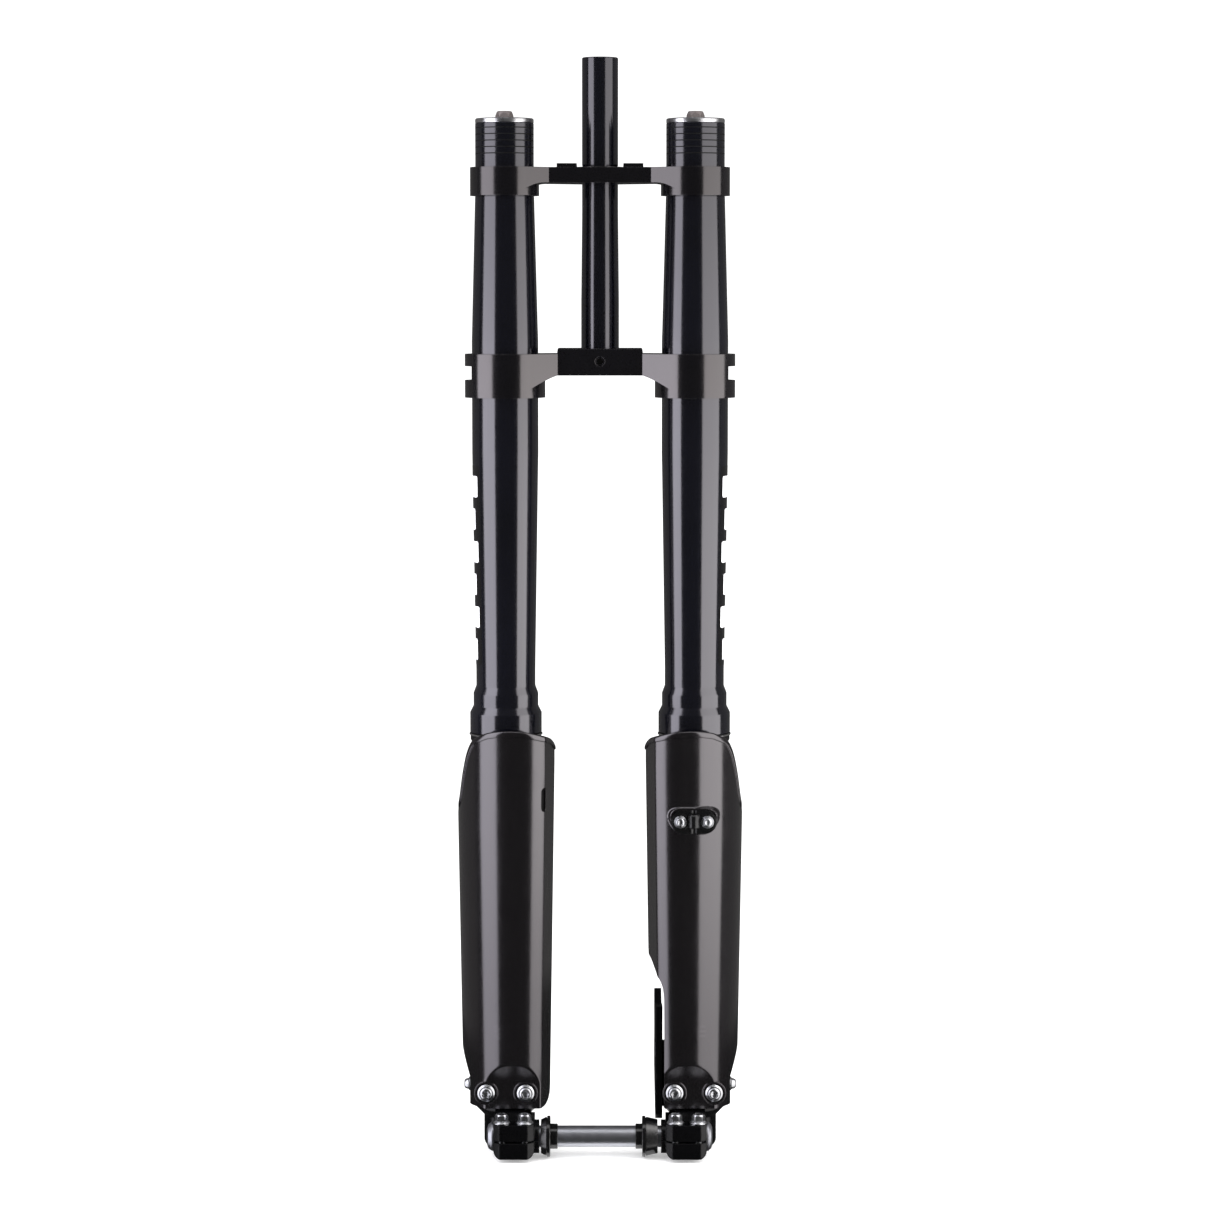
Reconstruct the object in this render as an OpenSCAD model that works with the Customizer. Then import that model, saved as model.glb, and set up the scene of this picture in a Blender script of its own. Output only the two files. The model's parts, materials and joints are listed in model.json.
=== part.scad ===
// Inverted dual-crown suspension fork with 200 mm of travel.
// +Z runs up the steerer, -Y is forward, and +X is the rider's left, where the disc brake goes.
// The origin is the crown-race seat: the steerer's axis at the top face of the lower crown.
// Leg pieces are drawn round their own leg's axis with +X outward, then placed by at_leg().

/* [Layout] */
// Distance from the steerer's axis to each leg's axis
leg_x = 75; // [73:0.5:78]
// How far the legs stand in front of the steerer
crown_offset = 25; // [22:0.5:28]
// Distance from a leg's axis forward to the axle
axle_lead = 32; // [31:0.5:34]
// Height of the axle below the crown-race seat
axle_drop = 625; // [622:0.5:626]

/* [Steerer] */
// Radius of the steerer tube
steerer_r = 14.3; // [14.2:0.05:14.3]
// Radius of the crown-race seat
seat_r = 15; // [14.9:0.05:15.1]
// Radius of the bore through the steerer
steerer_bore_r = 11.5; // [11:0.1:12.2]
// Length of the crown-race seat
seat_len = 38; // [20:1:50]
// Height of the steerer's top end
steerer_top_z = 229; // [200:1:260]

/* [Crowns] */
// Outer radius of the lower crown's leg rings
lower_ring_r = 31.75; // [31:0.25:33]
// Outer radius of the upper crown's leg rings
upper_ring_r = 27.15; // [26.5:0.05:28]
// How far the front faces of the arms turn inward
arm_sweep = 32; // [28:1:34]
// Diameter of the clamp bolts
clamp_bolt_d = 6; // [5:1:6]
// Sideways spacing of the handlebar-mount holes
mount_dx = 50.8; // [50:0.1:51]
// Fore-and-aft spacing of the handlebar-mount holes
mount_dy = 25.4; // [25:0.1:26]

/* [Outer tubes] */
// Radius at the top, where the upper crown clamps
tube_top_r = 23; // [22.8:0.05:23.1]
// Radius at the lower crown
tube_mid_r = 26.2; // [26:0.05:26.4]
// Radius of the waist above the seal head
tube_waist_r = 23.5; // [23.2:0.1:24]
// Radius of the seal head
seal_head_r = 28.5; // [28:0.1:29]
// Distance between the height grooves near the top
groove_pitch = 5; // [4.8:0.1:5.1]
// Number of height grooves
groove_count = 5; // [1:1:5]

/* [Stanchions and travel] */
// Outer radius of a stanchion
stanchion_r = 18.5; // [18.4:0.05:18.5]
// Inner radius of a stanchion
stanchion_bore_r = 16.3; // [16.1:0.1:16.5]
// Travel of the lower legs
travel = 200; // [150:5:200]

/* [Coil spring] */
// Mean radius of the coils
coil_r = 12; // [11:0.5:12.5]
// Radius of the spring wire
wire_r = 2.3; // [1.8:0.1:2.4]
// Number of turns
coil_turns = 24; // [12:1:26]

/* [Axle] */
// Radius of the through axle
axle_r = 8.5; // [8:0.1:8.7]
// Distance between the bosses that the axle joins
boss_span = 97; // [95:0.5:99]

/* [Guards] */
// Radius of a guard's front
guard_r = 39; // [38.5:0.1:39.5]
// Thickness of the guard's wall
guard_wall = 2.5; // [2:0.1:3]

/* [Hidden] */
// Lifts every round edge to a smooth preview.
$fn = 72;

// Clearances: between fixed pieces, and round pieces that turn or slide.
seat_gap = 0.02;
run_gap = 0.05;

clamp_r = clamp_bolt_d / 2;
tapped_r = 2.5;

// Lower crown heights.
block_z0 = -21;
lower_ring_z0 = -38.4;
lower_ring_z1 = -4;
block_half = 33.3;
front_y = -crown_offset - 10;
steerer_base_r = 16;

// Upper crown heights.
upper_ring_z0 = 119.8;
upper_ring_z1 = 142;
plate_z0 = 130;
pad_z1 = 145.2;
upper_half = 40;
mount_y = -8;
steerer_boss_z1 = 143;

// Outer tube heights and bores.
tube_z1 = 176.5;
tube_z0 = -304.5;
main_bore_r = 20.05;
cap_bore_r = 20.5;
cap_bore_z = 158;
bush_pocket_r = 20.62;
bush_pocket_z = -262;
seal_pocket_r = 24.5;
seal_pocket_z = -286;
snap_groove_r = 25.6;
snap_groove_z = -299.5;

// Top cap, cartridge and preload tube.
cap_z1 = 180;
shaft_r = 3;
cartridge_r = 12;
cartridge_bore_r = 10;
cartridge_z0 = -262;
preload_r = 14;
spring_top_z = -170;
spring_foot_z = -600;

// Lower leg heights.
stanchion_z1 = -60;
stanchion_z0 = -612;
socket_r = 25;
socket_z1 = -556;
foot_r = 18.3;
foot_z0 = -640;
foot_floor_z = -626;
foot_bolt_r = 4;
rod_r = 6;
piston_z = -226;

// Axle clamp.
axle_z = -axle_drop;
clamp_x1 = 9.5;
clamp_x0 = -22.7;
clamp_z0 = -638.6;
clamp_z1 = -611.2;
clamp_y0 = -axle_lead - 22;
pinch_y = -axle_lead - 13.5;
pinch_x = [3, -15.3];
boss_r = 13.3;
boss_x = boss_span / 2 - leg_x;

// Guard.
guard_cx = -1;
guard_z1 = -299;
guard_z0 = -603;
seat_y = -31;
seat_wall = 3;
seat_top_z = -581;
side_seat_x = 29.3;
front_screw_x = 15.7;
front_screw_z = -590.4;
side_screw_y = -2;
side_screw_z = -589.2;
hose_z = -371;
hose_dx = 10.7;
hose_y = -43.2;
hose_r = 2.8;

// Caliper bracket, in the fork's own frame.
bracket_x0 = 44.2;
bracket_x1 = 49.9;
bracket_bolt_y = -25;
bracket_bolt_z = [-562, -600];
caliper_y = 32;
caliper_z = -556;
caliper_pitch = 51;

// ---- Helpers ----

// A round bar along Z from z0 to z1.
module bar_z(r, z0, z1) {
  translate([0, 0, z0]) cylinder(r = r, h = z1 - z0);
}

// A round bar along X from x0 to x1.
module bar_x(r, x0, x1) {
  translate([x0, 0, 0]) rotate([0, 90, 0]) cylinder(r = r, h = x1 - x0);
}

// A round bar along Y from y0 to y1.
module bar_y(r, y0, y1) {
  translate([0, y0, 0]) rotate([-90, 0, 0]) cylinder(r = r, h = y1 - y0);
}

// A ring or sleeve along Z.
module ring_z(r_out, r_in, z0, z1) {
  difference() {
    bar_z(r_out, z0, z1);
    bar_z(r_in, z0 - 1, z1 + 1);
  }
}

// A box from its low corner to its high corner.
module box(low, high) {
  translate(low) cube(high - low);
}

// Places a leg piece: side is 1 for the left leg and -1 for the right.
module at_leg(side) {
  translate([side * leg_x, -crown_offset, 0]) mirror([side < 0 ? 1 : 0, 0, 0]) children();
}

// Places an outline drawn in X and Z, and gives it depth from y0 back to y1.
module front_outline(y0, y1) {
  translate([0, y1, 0]) rotate([90, 0, 0]) linear_extrude(y1 - y0) children();
}

// Places an outline drawn in Y and Z, and gives it width from x0 to x1.
module side_outline(x0, x1) {
  translate([x0, 0, 0]) rotate([90, 0, 90]) linear_extrude(x1 - x0) children();
}

// A shape with straight sides and round ends, along X.
module stadium(w, h) {
  square([w - h, h], center = true);
  for (s = [-1, 1]) translate([s * (w - h) / 2, 0]) circle(r = h / 2);
}

// A socket-head screw standing on z = 0, head up, with a hexagonal socket.
module socket_screw(shank_r, shank_len, head_r, head_h, hex_r) {
  difference() {
    union() {
      bar_z(head_r, 0, head_h);
      bar_z(shank_r, -shank_len, 0.5);
    }
    translate([0, 0, head_h * 0.45]) cylinder(r = hex_r, h = head_h, $fn = 6);
  }
}

// A flanged button-head screw standing on z = 0.
module button_screw(shank_r, shank_len, head_r, head_h, hex_r) {
  difference() {
    union() {
      rotate_extrude() polygon([
        [0, 0], [head_r, 0], [head_r, head_h * 0.25], [head_r * 0.82, head_h * 0.4],
        [head_r * 0.7, head_h * 0.85], [head_r * 0.5, head_h], [0, head_h]
      ]);
      bar_z(shank_r, -shank_len, 0.5);
    }
    translate([0, 0, head_h * 0.4]) cylinder(r = hex_r, h = head_h, $fn = 6);
  }
}

// A hex-flange bolt standing on z = 0.
module flange_bolt(shank_r, shank_len, flange_r, hex_r, head_h) {
  bar_z(flange_r, 0, 1.6);
  bar_z(shank_r, -shank_len, 0.5);
  intersection() {
    translate([0, 0, 1]) cylinder(r = hex_r, h = head_h - 1, $fn = 6);
    rotate_extrude() polygon([
      [0, 0], [hex_r + 1, 0], [hex_r + 1, head_h * 0.72], [hex_r * 0.8, head_h], [0, head_h]
    ]);
  }
}

// ---- Steerer and crowns ----

// Steerer: seat for the crown race, a long taper to the standard size, a scribed line.
module steerer_tube() {
  color("black") rotate_extrude() polygon([
    [steerer_bore_r, block_z0], [steerer_base_r, block_z0], [steerer_base_r, 0], [seat_r, 0],
    [seat_r, seat_len], [steerer_r, seat_len + 70], [steerer_r, 143.2], [steerer_r - 0.3, 143.2],
    [steerer_r - 0.3, 144.2], [steerer_r, 144.2], [steerer_r, steerer_top_z - 0.6],
    [steerer_r - 0.6, steerer_top_z], [steerer_bore_r, steerer_top_z]
  ]);
}

// Plan of one crown arm: front face swept back from the leg ring to the centre block.
module arm_plan(ring_r, half_w, boss_r) {
  grip = ring_r * 0.995;
  polygon([
    [0, front_y],
    [half_w, front_y],
    [leg_x - grip * sin(arm_sweep), -crown_offset - grip * cos(arm_sweep)],
    [leg_x, -crown_offset],
    [leg_x - ring_r * 0.45, -crown_offset + ring_r * 0.86],
    [boss_r * 0.8, boss_r * 0.93],
    [0, boss_r * 0.97]
  ]);
}

// Ears behind a leg ring or the steerer that the clamp bolts draw together.
module clamp_ears(half_w, y0, y1, z0, z1) {
  box([-half_w, y0, z0], [half_w, y1, z1]);
}

// The saw cut between two ears.
module clamp_slit(y0, y1, z0, z1) {
  box([-0.9, y0, z0 - 1], [0.9, y1 + 1, z1 + 1]);
}

lower_bolt_z = [-12.5, -30];
upper_bolt_z = [125.5, 136.3];
ear_half = 9;
lower_ear_y = 43;
upper_ear_y = 38.5;
lower_bolt_y = 36.5;
upper_bolt_y = 32;
steerer_ear_y = 33;
steerer_bolt_y = 25.5;
steerer_bolt_z = 136.3;

module lower_crown_body() {
  box([-block_half - 0.7, front_y, block_z0], [block_half + 0.7, 10, lower_ring_z1]);
  // raised centre
  front_outline(front_y, 22) polygon([
    [-block_half - 0.6, lower_ring_z1 - 0.01], [block_half + 0.6, lower_ring_z1 - 0.01],
    [block_half, 0], [-block_half, 0]
  ]);
  bar_z(22.5, block_z0, 0);
  for (s = [-1, 1]) mirror([s < 0 ? 1 : 0, 0, 0]) difference() {
    translate([0, 0, lower_ring_z0]) linear_extrude(lower_ring_z1 - lower_ring_z0)
      arm_plan(lower_ring_r, block_half, 22.5);
    // the arch under the arm, flat below the centre block
    front_outline(-80, 60) union() {
      translate([3.2, -105.6]) circle(r = 90, $fn = 180);
      translate([-1, -60]) square([35, 60 + block_z0]);
    }
  }
  for (s = [-1, 1]) at_leg(s) {
    bar_z(lower_ring_r, lower_ring_z0, lower_ring_z1);
    clamp_ears(ear_half, lower_ring_r - 8, lower_ear_y, lower_ring_z0, lower_ring_z1);
  }
}

// Lower crown, machined from one block.
module lower_crown() {
  color("#151515") difference() {
    lower_crown_body();
    bar_z(steerer_base_r + seat_gap, block_z0 - 1, 1);
    for (s = [-1, 1]) at_leg(s) {
      bar_z(tube_mid_r + seat_gap, lower_ring_z0 - 1, lower_ring_z1 + 1);
      clamp_slit(tube_mid_r - 2, lower_ear_y, lower_ring_z0, lower_ring_z1);
      // window milled in the outer side
      box([tube_mid_r - 0.4, -33, -24.6], [lower_ring_r + 2, 33, -13.6]);
      for (z = lower_bolt_z) translate([0, lower_bolt_y, z]) bar_x(clamp_r + run_gap, -20, 20);
    }
    // threaded hole in the front face, with a countersunk mouth
    translate([0, 0, -10]) {
      bar_y(tapped_r, front_y - 1, front_y + 13);
      translate([0, front_y - 0.01, 0]) rotate([-90, 0, 0]) cylinder(r1 = 4, r2 = tapped_r, h = 1.5);
    }
  }
}

module upper_crown_body() {
  for (s = [-1, 1]) mirror([s < 0 ? 1 : 0, 0, 0]) difference() {
    translate([0, 0, upper_ring_z0]) linear_extrude(upper_ring_z1 - upper_ring_z0)
      arm_plan(upper_ring_r, upper_half, 20.5);
    // the underside: flat plate, then a fillet down into the ring
    front_outline(-80, 60) union() {
      translate([42.6, plate_z0 - 26]) circle(r = 26, $fn = 120);
      translate([-1, plate_z0 - 40]) square([43.6, 40]);
    }
  }
  bar_z(20.5, plate_z0, steerer_boss_z1);
  clamp_ears(ear_half, 10, steerer_ear_y, plate_z0, upper_ring_z1);
  // pads that the handlebar mount stands on
  for (s = [-1, 1])
    box([s * 26.2 - 7.8, mount_y - 21, upper_ring_z1 - 1], [s * 26.2 + 7.8, mount_y + 21, pad_z1]);
  for (s = [-1, 1]) at_leg(s) {
    bar_z(upper_ring_r, upper_ring_z0, upper_ring_z1);
    clamp_ears(ear_half, upper_ring_r - 8, upper_ear_y, upper_ring_z0, upper_ring_z1);
  }
}

// Upper crown: clamps the steerer and both outer tubes, and carries the handlebar mount.
module upper_crown() {
  color("#151515") difference() {
    upper_crown_body();
    bar_z(steerer_r + seat_gap, plate_z0 - 15, pad_z1 + 1);
    clamp_slit(steerer_r - 2, steerer_ear_y, plate_z0 - 12, pad_z1);
    translate([0, steerer_bolt_y, steerer_bolt_z]) bar_x(clamp_r + run_gap, -20, 20);
    for (x = [-1, 1], y = [-1, 1])
      translate([x * mount_dx / 2, mount_y + y * mount_dy / 2, 0]) bar_z(tapped_r, 100, 150);
    for (s = [-1, 1]) at_leg(s) {
      bar_z(tube_top_r + seat_gap, upper_ring_z0 - 1, upper_ring_z1 + 1);
      clamp_slit(tube_top_r - 2, upper_ear_y, upper_ring_z0, upper_ring_z1);
      for (z = upper_bolt_z) translate([0, upper_bolt_y, z]) bar_x(clamp_r + run_gap, -20, 20);
    }
  }
}

// One clamp bolt lying across a pair of ears, its head on the outer side.
module clamp_bolt() {
  translate([ear_half, 0, 0]) rotate([0, 90, 0])
    socket_screw(clamp_r, 2 * ear_half - 0.5, 4.9, 5.5, 2.9);
}

module upper_crown_bolts() {
  color("silver") {
    for (s = [-1, 1], z = upper_bolt_z) at_leg(s) translate([0, upper_bolt_y, z]) clamp_bolt();
    translate([0, steerer_bolt_y, steerer_bolt_z]) clamp_bolt();
  }
}

module lower_crown_bolts() {
  color("silver")
    for (s = [-1, 1], z = lower_bolt_z) at_leg(s) translate([0, lower_bolt_y, z]) clamp_bolt();
}

// ---- Outer tube and what is sealed into it ----

groove_top_z = 172.5;
groove_w = 0.7;
groove_d = 0.3;

// Outer tube: height grooves, long tapers, waist and seal head, bored in steps.
module outer_tube() {
  difference() {
    rotate_extrude() polygon([
      [main_bore_r, cap_bore_z], [cap_bore_r, cap_bore_z], [cap_bore_r, tube_z1],
      [tube_top_r - 0.5, tube_z1], [tube_top_r, tube_z1 - 0.5], [tube_top_r, 119.4],
      [tube_top_r + 0.25, 119], [tube_mid_r, 6], [tube_mid_r, -82], [tube_waist_r, -255],
      [tube_waist_r, -267], [tube_waist_r + 2.25, -273], [tube_waist_r + 2.25, -283],
      [seal_head_r, -288.5], [seal_head_r, tube_z0 + 0.6], [seal_head_r - 0.6, tube_z0],
      [seal_pocket_r, tube_z0], [seal_pocket_r, snap_groove_z], [snap_groove_r, snap_groove_z],
      [snap_groove_r, snap_groove_z + 1.5], [seal_pocket_r, snap_groove_z + 1.5],
      [seal_pocket_r, seal_pocket_z], [bush_pocket_r, seal_pocket_z],
      [bush_pocket_r, bush_pocket_z], [main_bore_r, bush_pocket_z]
    ]);
    for (i = [0 : groove_count - 1])
      ring_z(tube_top_r + 1, tube_top_r - groove_d, groove_top_z - i * groove_pitch - groove_w / 2,
        groove_top_z - i * groove_pitch + groove_w / 2);
  }
}

module outer_tube_left() { color("black") at_leg(1) outer_tube(); }
module outer_tube_right() { color("black") at_leg(-1) outer_tube(); }

oring_r = 19.15;
oring_wire_r = 1.25;
oring_z = 165;

// Top cap: bright rim, dished top, O-ring groove, and a spigot with a pocket for the knob's clip.
module top_cap() {
  rotate_extrude() polygon([
    [shaft_r + run_gap, 154], [5.2, 154], [5.2, 148], [9.9, 148], [9.9, cap_bore_z],
    [cap_bore_r - run_gap, cap_bore_z], [cap_bore_r - run_gap, oring_z - 1.5],
    [oring_r - oring_wire_r - 0.02, oring_z - 1.5], [oring_r - oring_wire_r - 0.02, oring_z + 1.5],
    [cap_bore_r - run_gap, oring_z + 1.5], [cap_bore_r - run_gap, tube_z1 + seat_gap],
    [tube_top_r - 0.2, tube_z1 + seat_gap], [tube_top_r, tube_z1 + 0.5], [tube_top_r, cap_z1 - 0.8],
    [tube_top_r - 0.8, cap_z1], [18.5, cap_z1], [17.5, cap_z1 - 1], [9, cap_z1 - 1], [8, cap_z1],
    [shaft_r + run_gap, cap_z1]
  ]);
}

module top_cap_left() { color("silver") at_leg(1) top_cap(); }
module top_cap_right() { color("silver") at_leg(-1) top_cap(); }

module top_cap_oring() {
  translate([0, 0, oring_z]) rotate_extrude() translate([oring_r, 0]) circle(r = oring_wire_r);
}

module top_cap_oring_left() { color("dimgray") at_leg(1) top_cap_oring(); }
module top_cap_oring_right() { color("dimgray") at_leg(-1) top_cap_oring(); }

// Adjuster knob: chamfered hexagon on a shaft that a clip holds under the cap.
module adjuster_knob() {
  intersection() {
    bar_hex(7.3, cap_z1 + 0.1, 185.8);
    rotate_extrude() polygon([
      [0, cap_z1 + 0.1], [7.3, cap_z1 + 0.1], [7.1, 182.5], [5.9, 185.4], [5, 185.8], [0, 185.8]
    ]);
  }
  bar_z(shaft_r, 149.5, cap_z1 + 0.5);
  bar_z(4.8, 150.5, 153.4);
}

module bar_hex(r, z0, z1) {
  translate([0, 0, z0]) cylinder(r = r, h = z1 - z0, $fn = 6);
}

module preload_knob() { color("darkgray") at_leg(1) adjuster_knob(); }
module compression_knob() { color("darkgray") at_leg(-1) adjuster_knob(); }

module lower_bush() {
  ring_z(bush_pocket_r - seat_gap, stanchion_r + run_gap, seal_pocket_z + 0.02, bush_pocket_z - 0.02);
}

module lower_bush_left() { color("darkgoldenrod") at_leg(1) lower_bush(); }
module lower_bush_right() { color("darkgoldenrod") at_leg(-1) lower_bush(); }

module seal_washer() {
  ring_z(seal_pocket_r - run_gap, stanchion_r + 0.5, -288, seal_pocket_z - 0.05);
}

module seal_washer_left() { color("silver") at_leg(1) seal_washer(); }
module seal_washer_right() { color("silver") at_leg(-1) seal_washer(); }

module oil_seal() {
  ring_z(seal_pocket_r - seat_gap, stanchion_r + run_gap, -297.9, -288.1);
}

module oil_seal_left() { color("dimgray") at_leg(1) oil_seal(); }
module oil_seal_right() { color("dimgray") at_leg(-1) oil_seal(); }

// Snap ring with a gap at the back for its pliers.
module snap_ring() {
  difference() {
    ring_z(snap_groove_r - 0.1, 22.5, snap_groove_z + 0.1, snap_groove_z + 1.4);
    box([-4, 10, -310], [4, 30, -290]);
  }
}

module snap_ring_left() { color("silver") at_leg(1) snap_ring(); }
module snap_ring_right() { color("silver") at_leg(-1) snap_ring(); }

garter_r = 28.45;
garter_wire_r = 0.72;
garter_z = -305.7;

// Dust seal: a body pressed into the seal head and a lip under it, with a groove for the spring.
module dust_seal() {
  rotate_extrude() polygon([
    [stanchion_r + run_gap, -313], [25.4, -313], [27.6, -311.2], [28.2, -310],
    [28.2, garter_z - 0.76], [garter_r - garter_wire_r - 0.02, garter_z - 0.76],
    [garter_r - garter_wire_r - 0.02, garter_z + 0.76], [28.2, garter_z + 0.76],
    [28.2, tube_z0 - seat_gap], [24.4, tube_z0 - seat_gap], [24.4, -299.9],
    [20.5, -299.9], [stanchion_r + run_gap, -302.5]
  ]);
}

module dust_seal_left() { color("dimgray") at_leg(1) dust_seal(); }
module dust_seal_right() { color("dimgray") at_leg(-1) dust_seal(); }

module garter_spring() {
  translate([0, 0, garter_z]) rotate_extrude() translate([garter_r, 0]) circle(r = garter_wire_r);
}

module garter_spring_left() { color("silver") at_leg(1) garter_spring(); }
module garter_spring_right() { color("silver") at_leg(-1) garter_spring(); }

// ---- Damper, right leg ----

module damper_cartridge() {
  color("lightgray") at_leg(-1)
    ring_z(cartridge_r, cartridge_bore_r, cartridge_z0, cap_bore_z - seat_gap);
}

module cartridge_gland() {
  color("darkgoldenrod") at_leg(-1)
    ring_z(cartridge_bore_r - seat_gap, rod_r + run_gap, cartridge_z0, cartridge_z0 + 16);
}

// Damper rod: thin spigot for the piston, flanged foot tapped for the foot bolt.
module damper_rod() {
  color("silver") at_leg(-1) difference() {
    union() {
      bar_z(rod_r, stanchion_z0, piston_z);
      bar_z(4, piston_z - 1, piston_z + 22);
      bar_z(12, stanchion_z0 + seat_gap, -600);
    }
    bar_z(foot_bolt_r + seat_gap, stanchion_z0 - 1, -590);
  }
}

module damper_piston() {
  color("gray") at_leg(-1) ring_z(cartridge_bore_r - run_gap, 4 + seat_gap, piston_z + 0.02, piston_z + 12);
}

module piston_nut() {
  color("silver") at_leg(-1) difference() {
    bar_hex(6.5, piston_z + 12.05, piston_z + 18);
    bar_z(4 + seat_gap, piston_z, piston_z + 30);
  }
}

module bump_stop() {
  color("dimgray") at_leg(-1) difference() {
    rotate_extrude() polygon([
      [0, -502], [11, -502], [12, -498], [12, -490], [9.5, -484], [11.5, -478], [9.5, -466], [0, -466]
    ]);
    bar_z(rod_r + seat_gap, -510, -460);
  }
}

// ---- Spring, left leg ----

module preload_tube() {
  color("gray") at_leg(1) {
    ring_z(preload_r, 12, spring_top_z + 3, cap_bore_z - seat_gap);
    bar_z(15.6, spring_top_z + seat_gap, spring_top_z + 4);
  }
}

coil_sides = 6;
coil_steps = 10;
coil_end = wire_r + 0.05;
coil_rise = (spring_top_z - spring_foot_z - 2 * coil_end) / (coil_turns * coil_steps);

// Coil spring: one wire of six sides swept up a helix.
module coil_spring() {
  rings = coil_turns * coil_steps;
  points = [
    for (i = [0 : rings], j = [0 : coil_sides - 1])
      let (a = 360 * i / coil_steps, b = 360 * j / coil_sides, r = coil_r + wire_r * cos(b))
        [r * cos(a), r * sin(a), spring_foot_z + coil_end + i * coil_rise + wire_r * sin(b)]
  ];
  sides = [
    for (i = [0 : rings - 1], j = [0 : coil_sides - 1])
      let (k = (j + 1) % coil_sides, low = i * coil_sides, high = low + coil_sides)
        each [[low + j, low + k, high + k], [low + j, high + k, high + j]]
  ];
  start_cap = [for (j = [coil_sides - 1 : -1 : 0]) j];
  end_cap = [for (j = [0 : coil_sides - 1]) rings * coil_sides + j];
  color("slategray") at_leg(1)
    polyhedron(points = points, faces = concat([start_cap], sides, [end_cap]));
}

// Spring seat: a disc on a tapped stub that the foot bolt holds.
module spring_seat() {
  color("silver") at_leg(1) difference() {
    union() {
      bar_z(15.8, spring_foot_z - 6, spring_foot_z - seat_gap);
      bar_z(9, stanchion_z0 + seat_gap, spring_foot_z - 5);
      bar_z(9, spring_foot_z - 1, spring_foot_z + 16);
    }
    bar_z(foot_bolt_r + seat_gap, stanchion_z0 - 1, -588);
  }
}

// ---- Lower legs ----

module stanchion() {
  difference() {
    ring_z(stanchion_r, stanchion_bore_r, stanchion_z0 + seat_gap, stanchion_z1);
    // seat for the upper bush
    ring_z(stanchion_r + 1, 17.9, -88, stanchion_z1 + 1);
  }
}

module stanchion_left() { color("silver") at_leg(1) stanchion(); }
module stanchion_right() { color("silver") at_leg(-1) stanchion(); }

module upper_bush() {
  ring_z(main_bore_r - run_gap, 17.92, -87.9, stanchion_z1 - 2);
}

module upper_bush_left() { color("darkgoldenrod") at_leg(1) upper_bush(); }
module upper_bush_right() { color("darkgoldenrod") at_leg(-1) upper_bush(); }

// Axle clamp block: chamfered front corners, rounded lower corners.
module clamp_block() {
  corner = 6;
  intersection() {
    translate([0, 0, clamp_z0]) linear_extrude(clamp_z1 - clamp_z0) polygon([
      [clamp_x0, -8], [clamp_x0, clamp_y0 + 5], [clamp_x0 + 5, clamp_y0],
      [clamp_x1 - 4.5, clamp_y0], [clamp_x1, clamp_y0 + 4.5], [clamp_x1, -8]
    ]);
    front_outline(clamp_y0 - 1, 0) union() {
      translate([clamp_x0, clamp_z0 + corner])
        square([clamp_x1 - clamp_x0, clamp_z1 - clamp_z0 - corner]);
      translate([clamp_x0 + corner, clamp_z0]) square([clamp_x1 - clamp_x0 - 2 * corner, corner + 1]);
      for (x = [clamp_x0 + corner, clamp_x1 - corner])
        translate([x, clamp_z0 + corner]) circle(r = corner);
    }
  }
}

// Foot of the leg: socket for the stanchion, neck below it, rounded bottom.
module foot_body() {
  rotate_extrude() union() {
    polygon([
      [0, socket_z1], [socket_r - 1, socket_z1], [socket_r, socket_z1 - 1], [socket_r, -607],
      [foot_r, -614], [foot_r, foot_z0 + 6], [foot_r - 6, foot_z0 + 6], [foot_r - 6, foot_z0],
      [0, foot_z0]
    ]);
    intersection() {
      translate([foot_r - 6, foot_z0 + 6]) circle(r = 6);
      translate([0, foot_z0]) square([foot_r, 12]);
    }
  }
}

// Axle lug without the caliper pads.
module axle_lug() {
  difference() {
    union() {
      foot_body();
      clamp_block();
      translate([0, -axle_lead, axle_z]) bar_x(boss_r, boss_x, clamp_x0 + 2);
      // rib from the clamp block up to the socket
      side_outline(-15, clamp_x1 - 1) polygon([
        [-37.5, clamp_z1 - 1], [-37.5, clamp_z1 + 0.5], [-27.5, guard_z0 - 0.5], [-20, -598],
        [-12, clamp_z1 - 1]
      ]);
      // bosses for the guard's screws
      for (x = [-front_screw_x, front_screw_x])
        translate([x, 0, front_screw_z]) bar_y(6.5, seat_y + seat_wall + seat_gap, -12);
      translate([0, side_screw_y, side_screw_z]) bar_x(6.5, 12, side_seat_x - seat_wall - seat_gap);
    }
    bar_z(stanchion_r + seat_gap, stanchion_z0, socket_z1 + 1);
    bar_z(foot_bolt_r + seat_gap, foot_floor_z - 1, stanchion_z0 + 1);
    bar_z(9, foot_z0 - 1, foot_floor_z);
    translate([0, -axle_lead, axle_z]) bar_x(axle_r + seat_gap, boss_x - 1, clamp_x1 + 1);
    // pinch slit, open to the front
    box([boss_x - 1, clamp_y0 - 1, axle_z - 0.75], [clamp_x1 + 1, -axle_lead, axle_z + 0.75]);
    // scribed line across the front
    box([clamp_x0 - 1, clamp_y0 - 1, -618.8], [clamp_x1 + 1, clamp_y0 + 0.4, -618.2]);
    for (x = pinch_x) translate([x, pinch_y, 0]) bar_z(clamp_r + run_gap, clamp_z0 + 4, clamp_z1 + 1);
    for (x = [-front_screw_x, front_screw_x])
      translate([x, 0, front_screw_z]) bar_y(clamp_r + seat_gap, seat_y - 1, -19.5);
    translate([0, side_screw_y, side_screw_z]) bar_x(clamp_r + seat_gap, 19.5, side_seat_x);
  }
}

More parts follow.
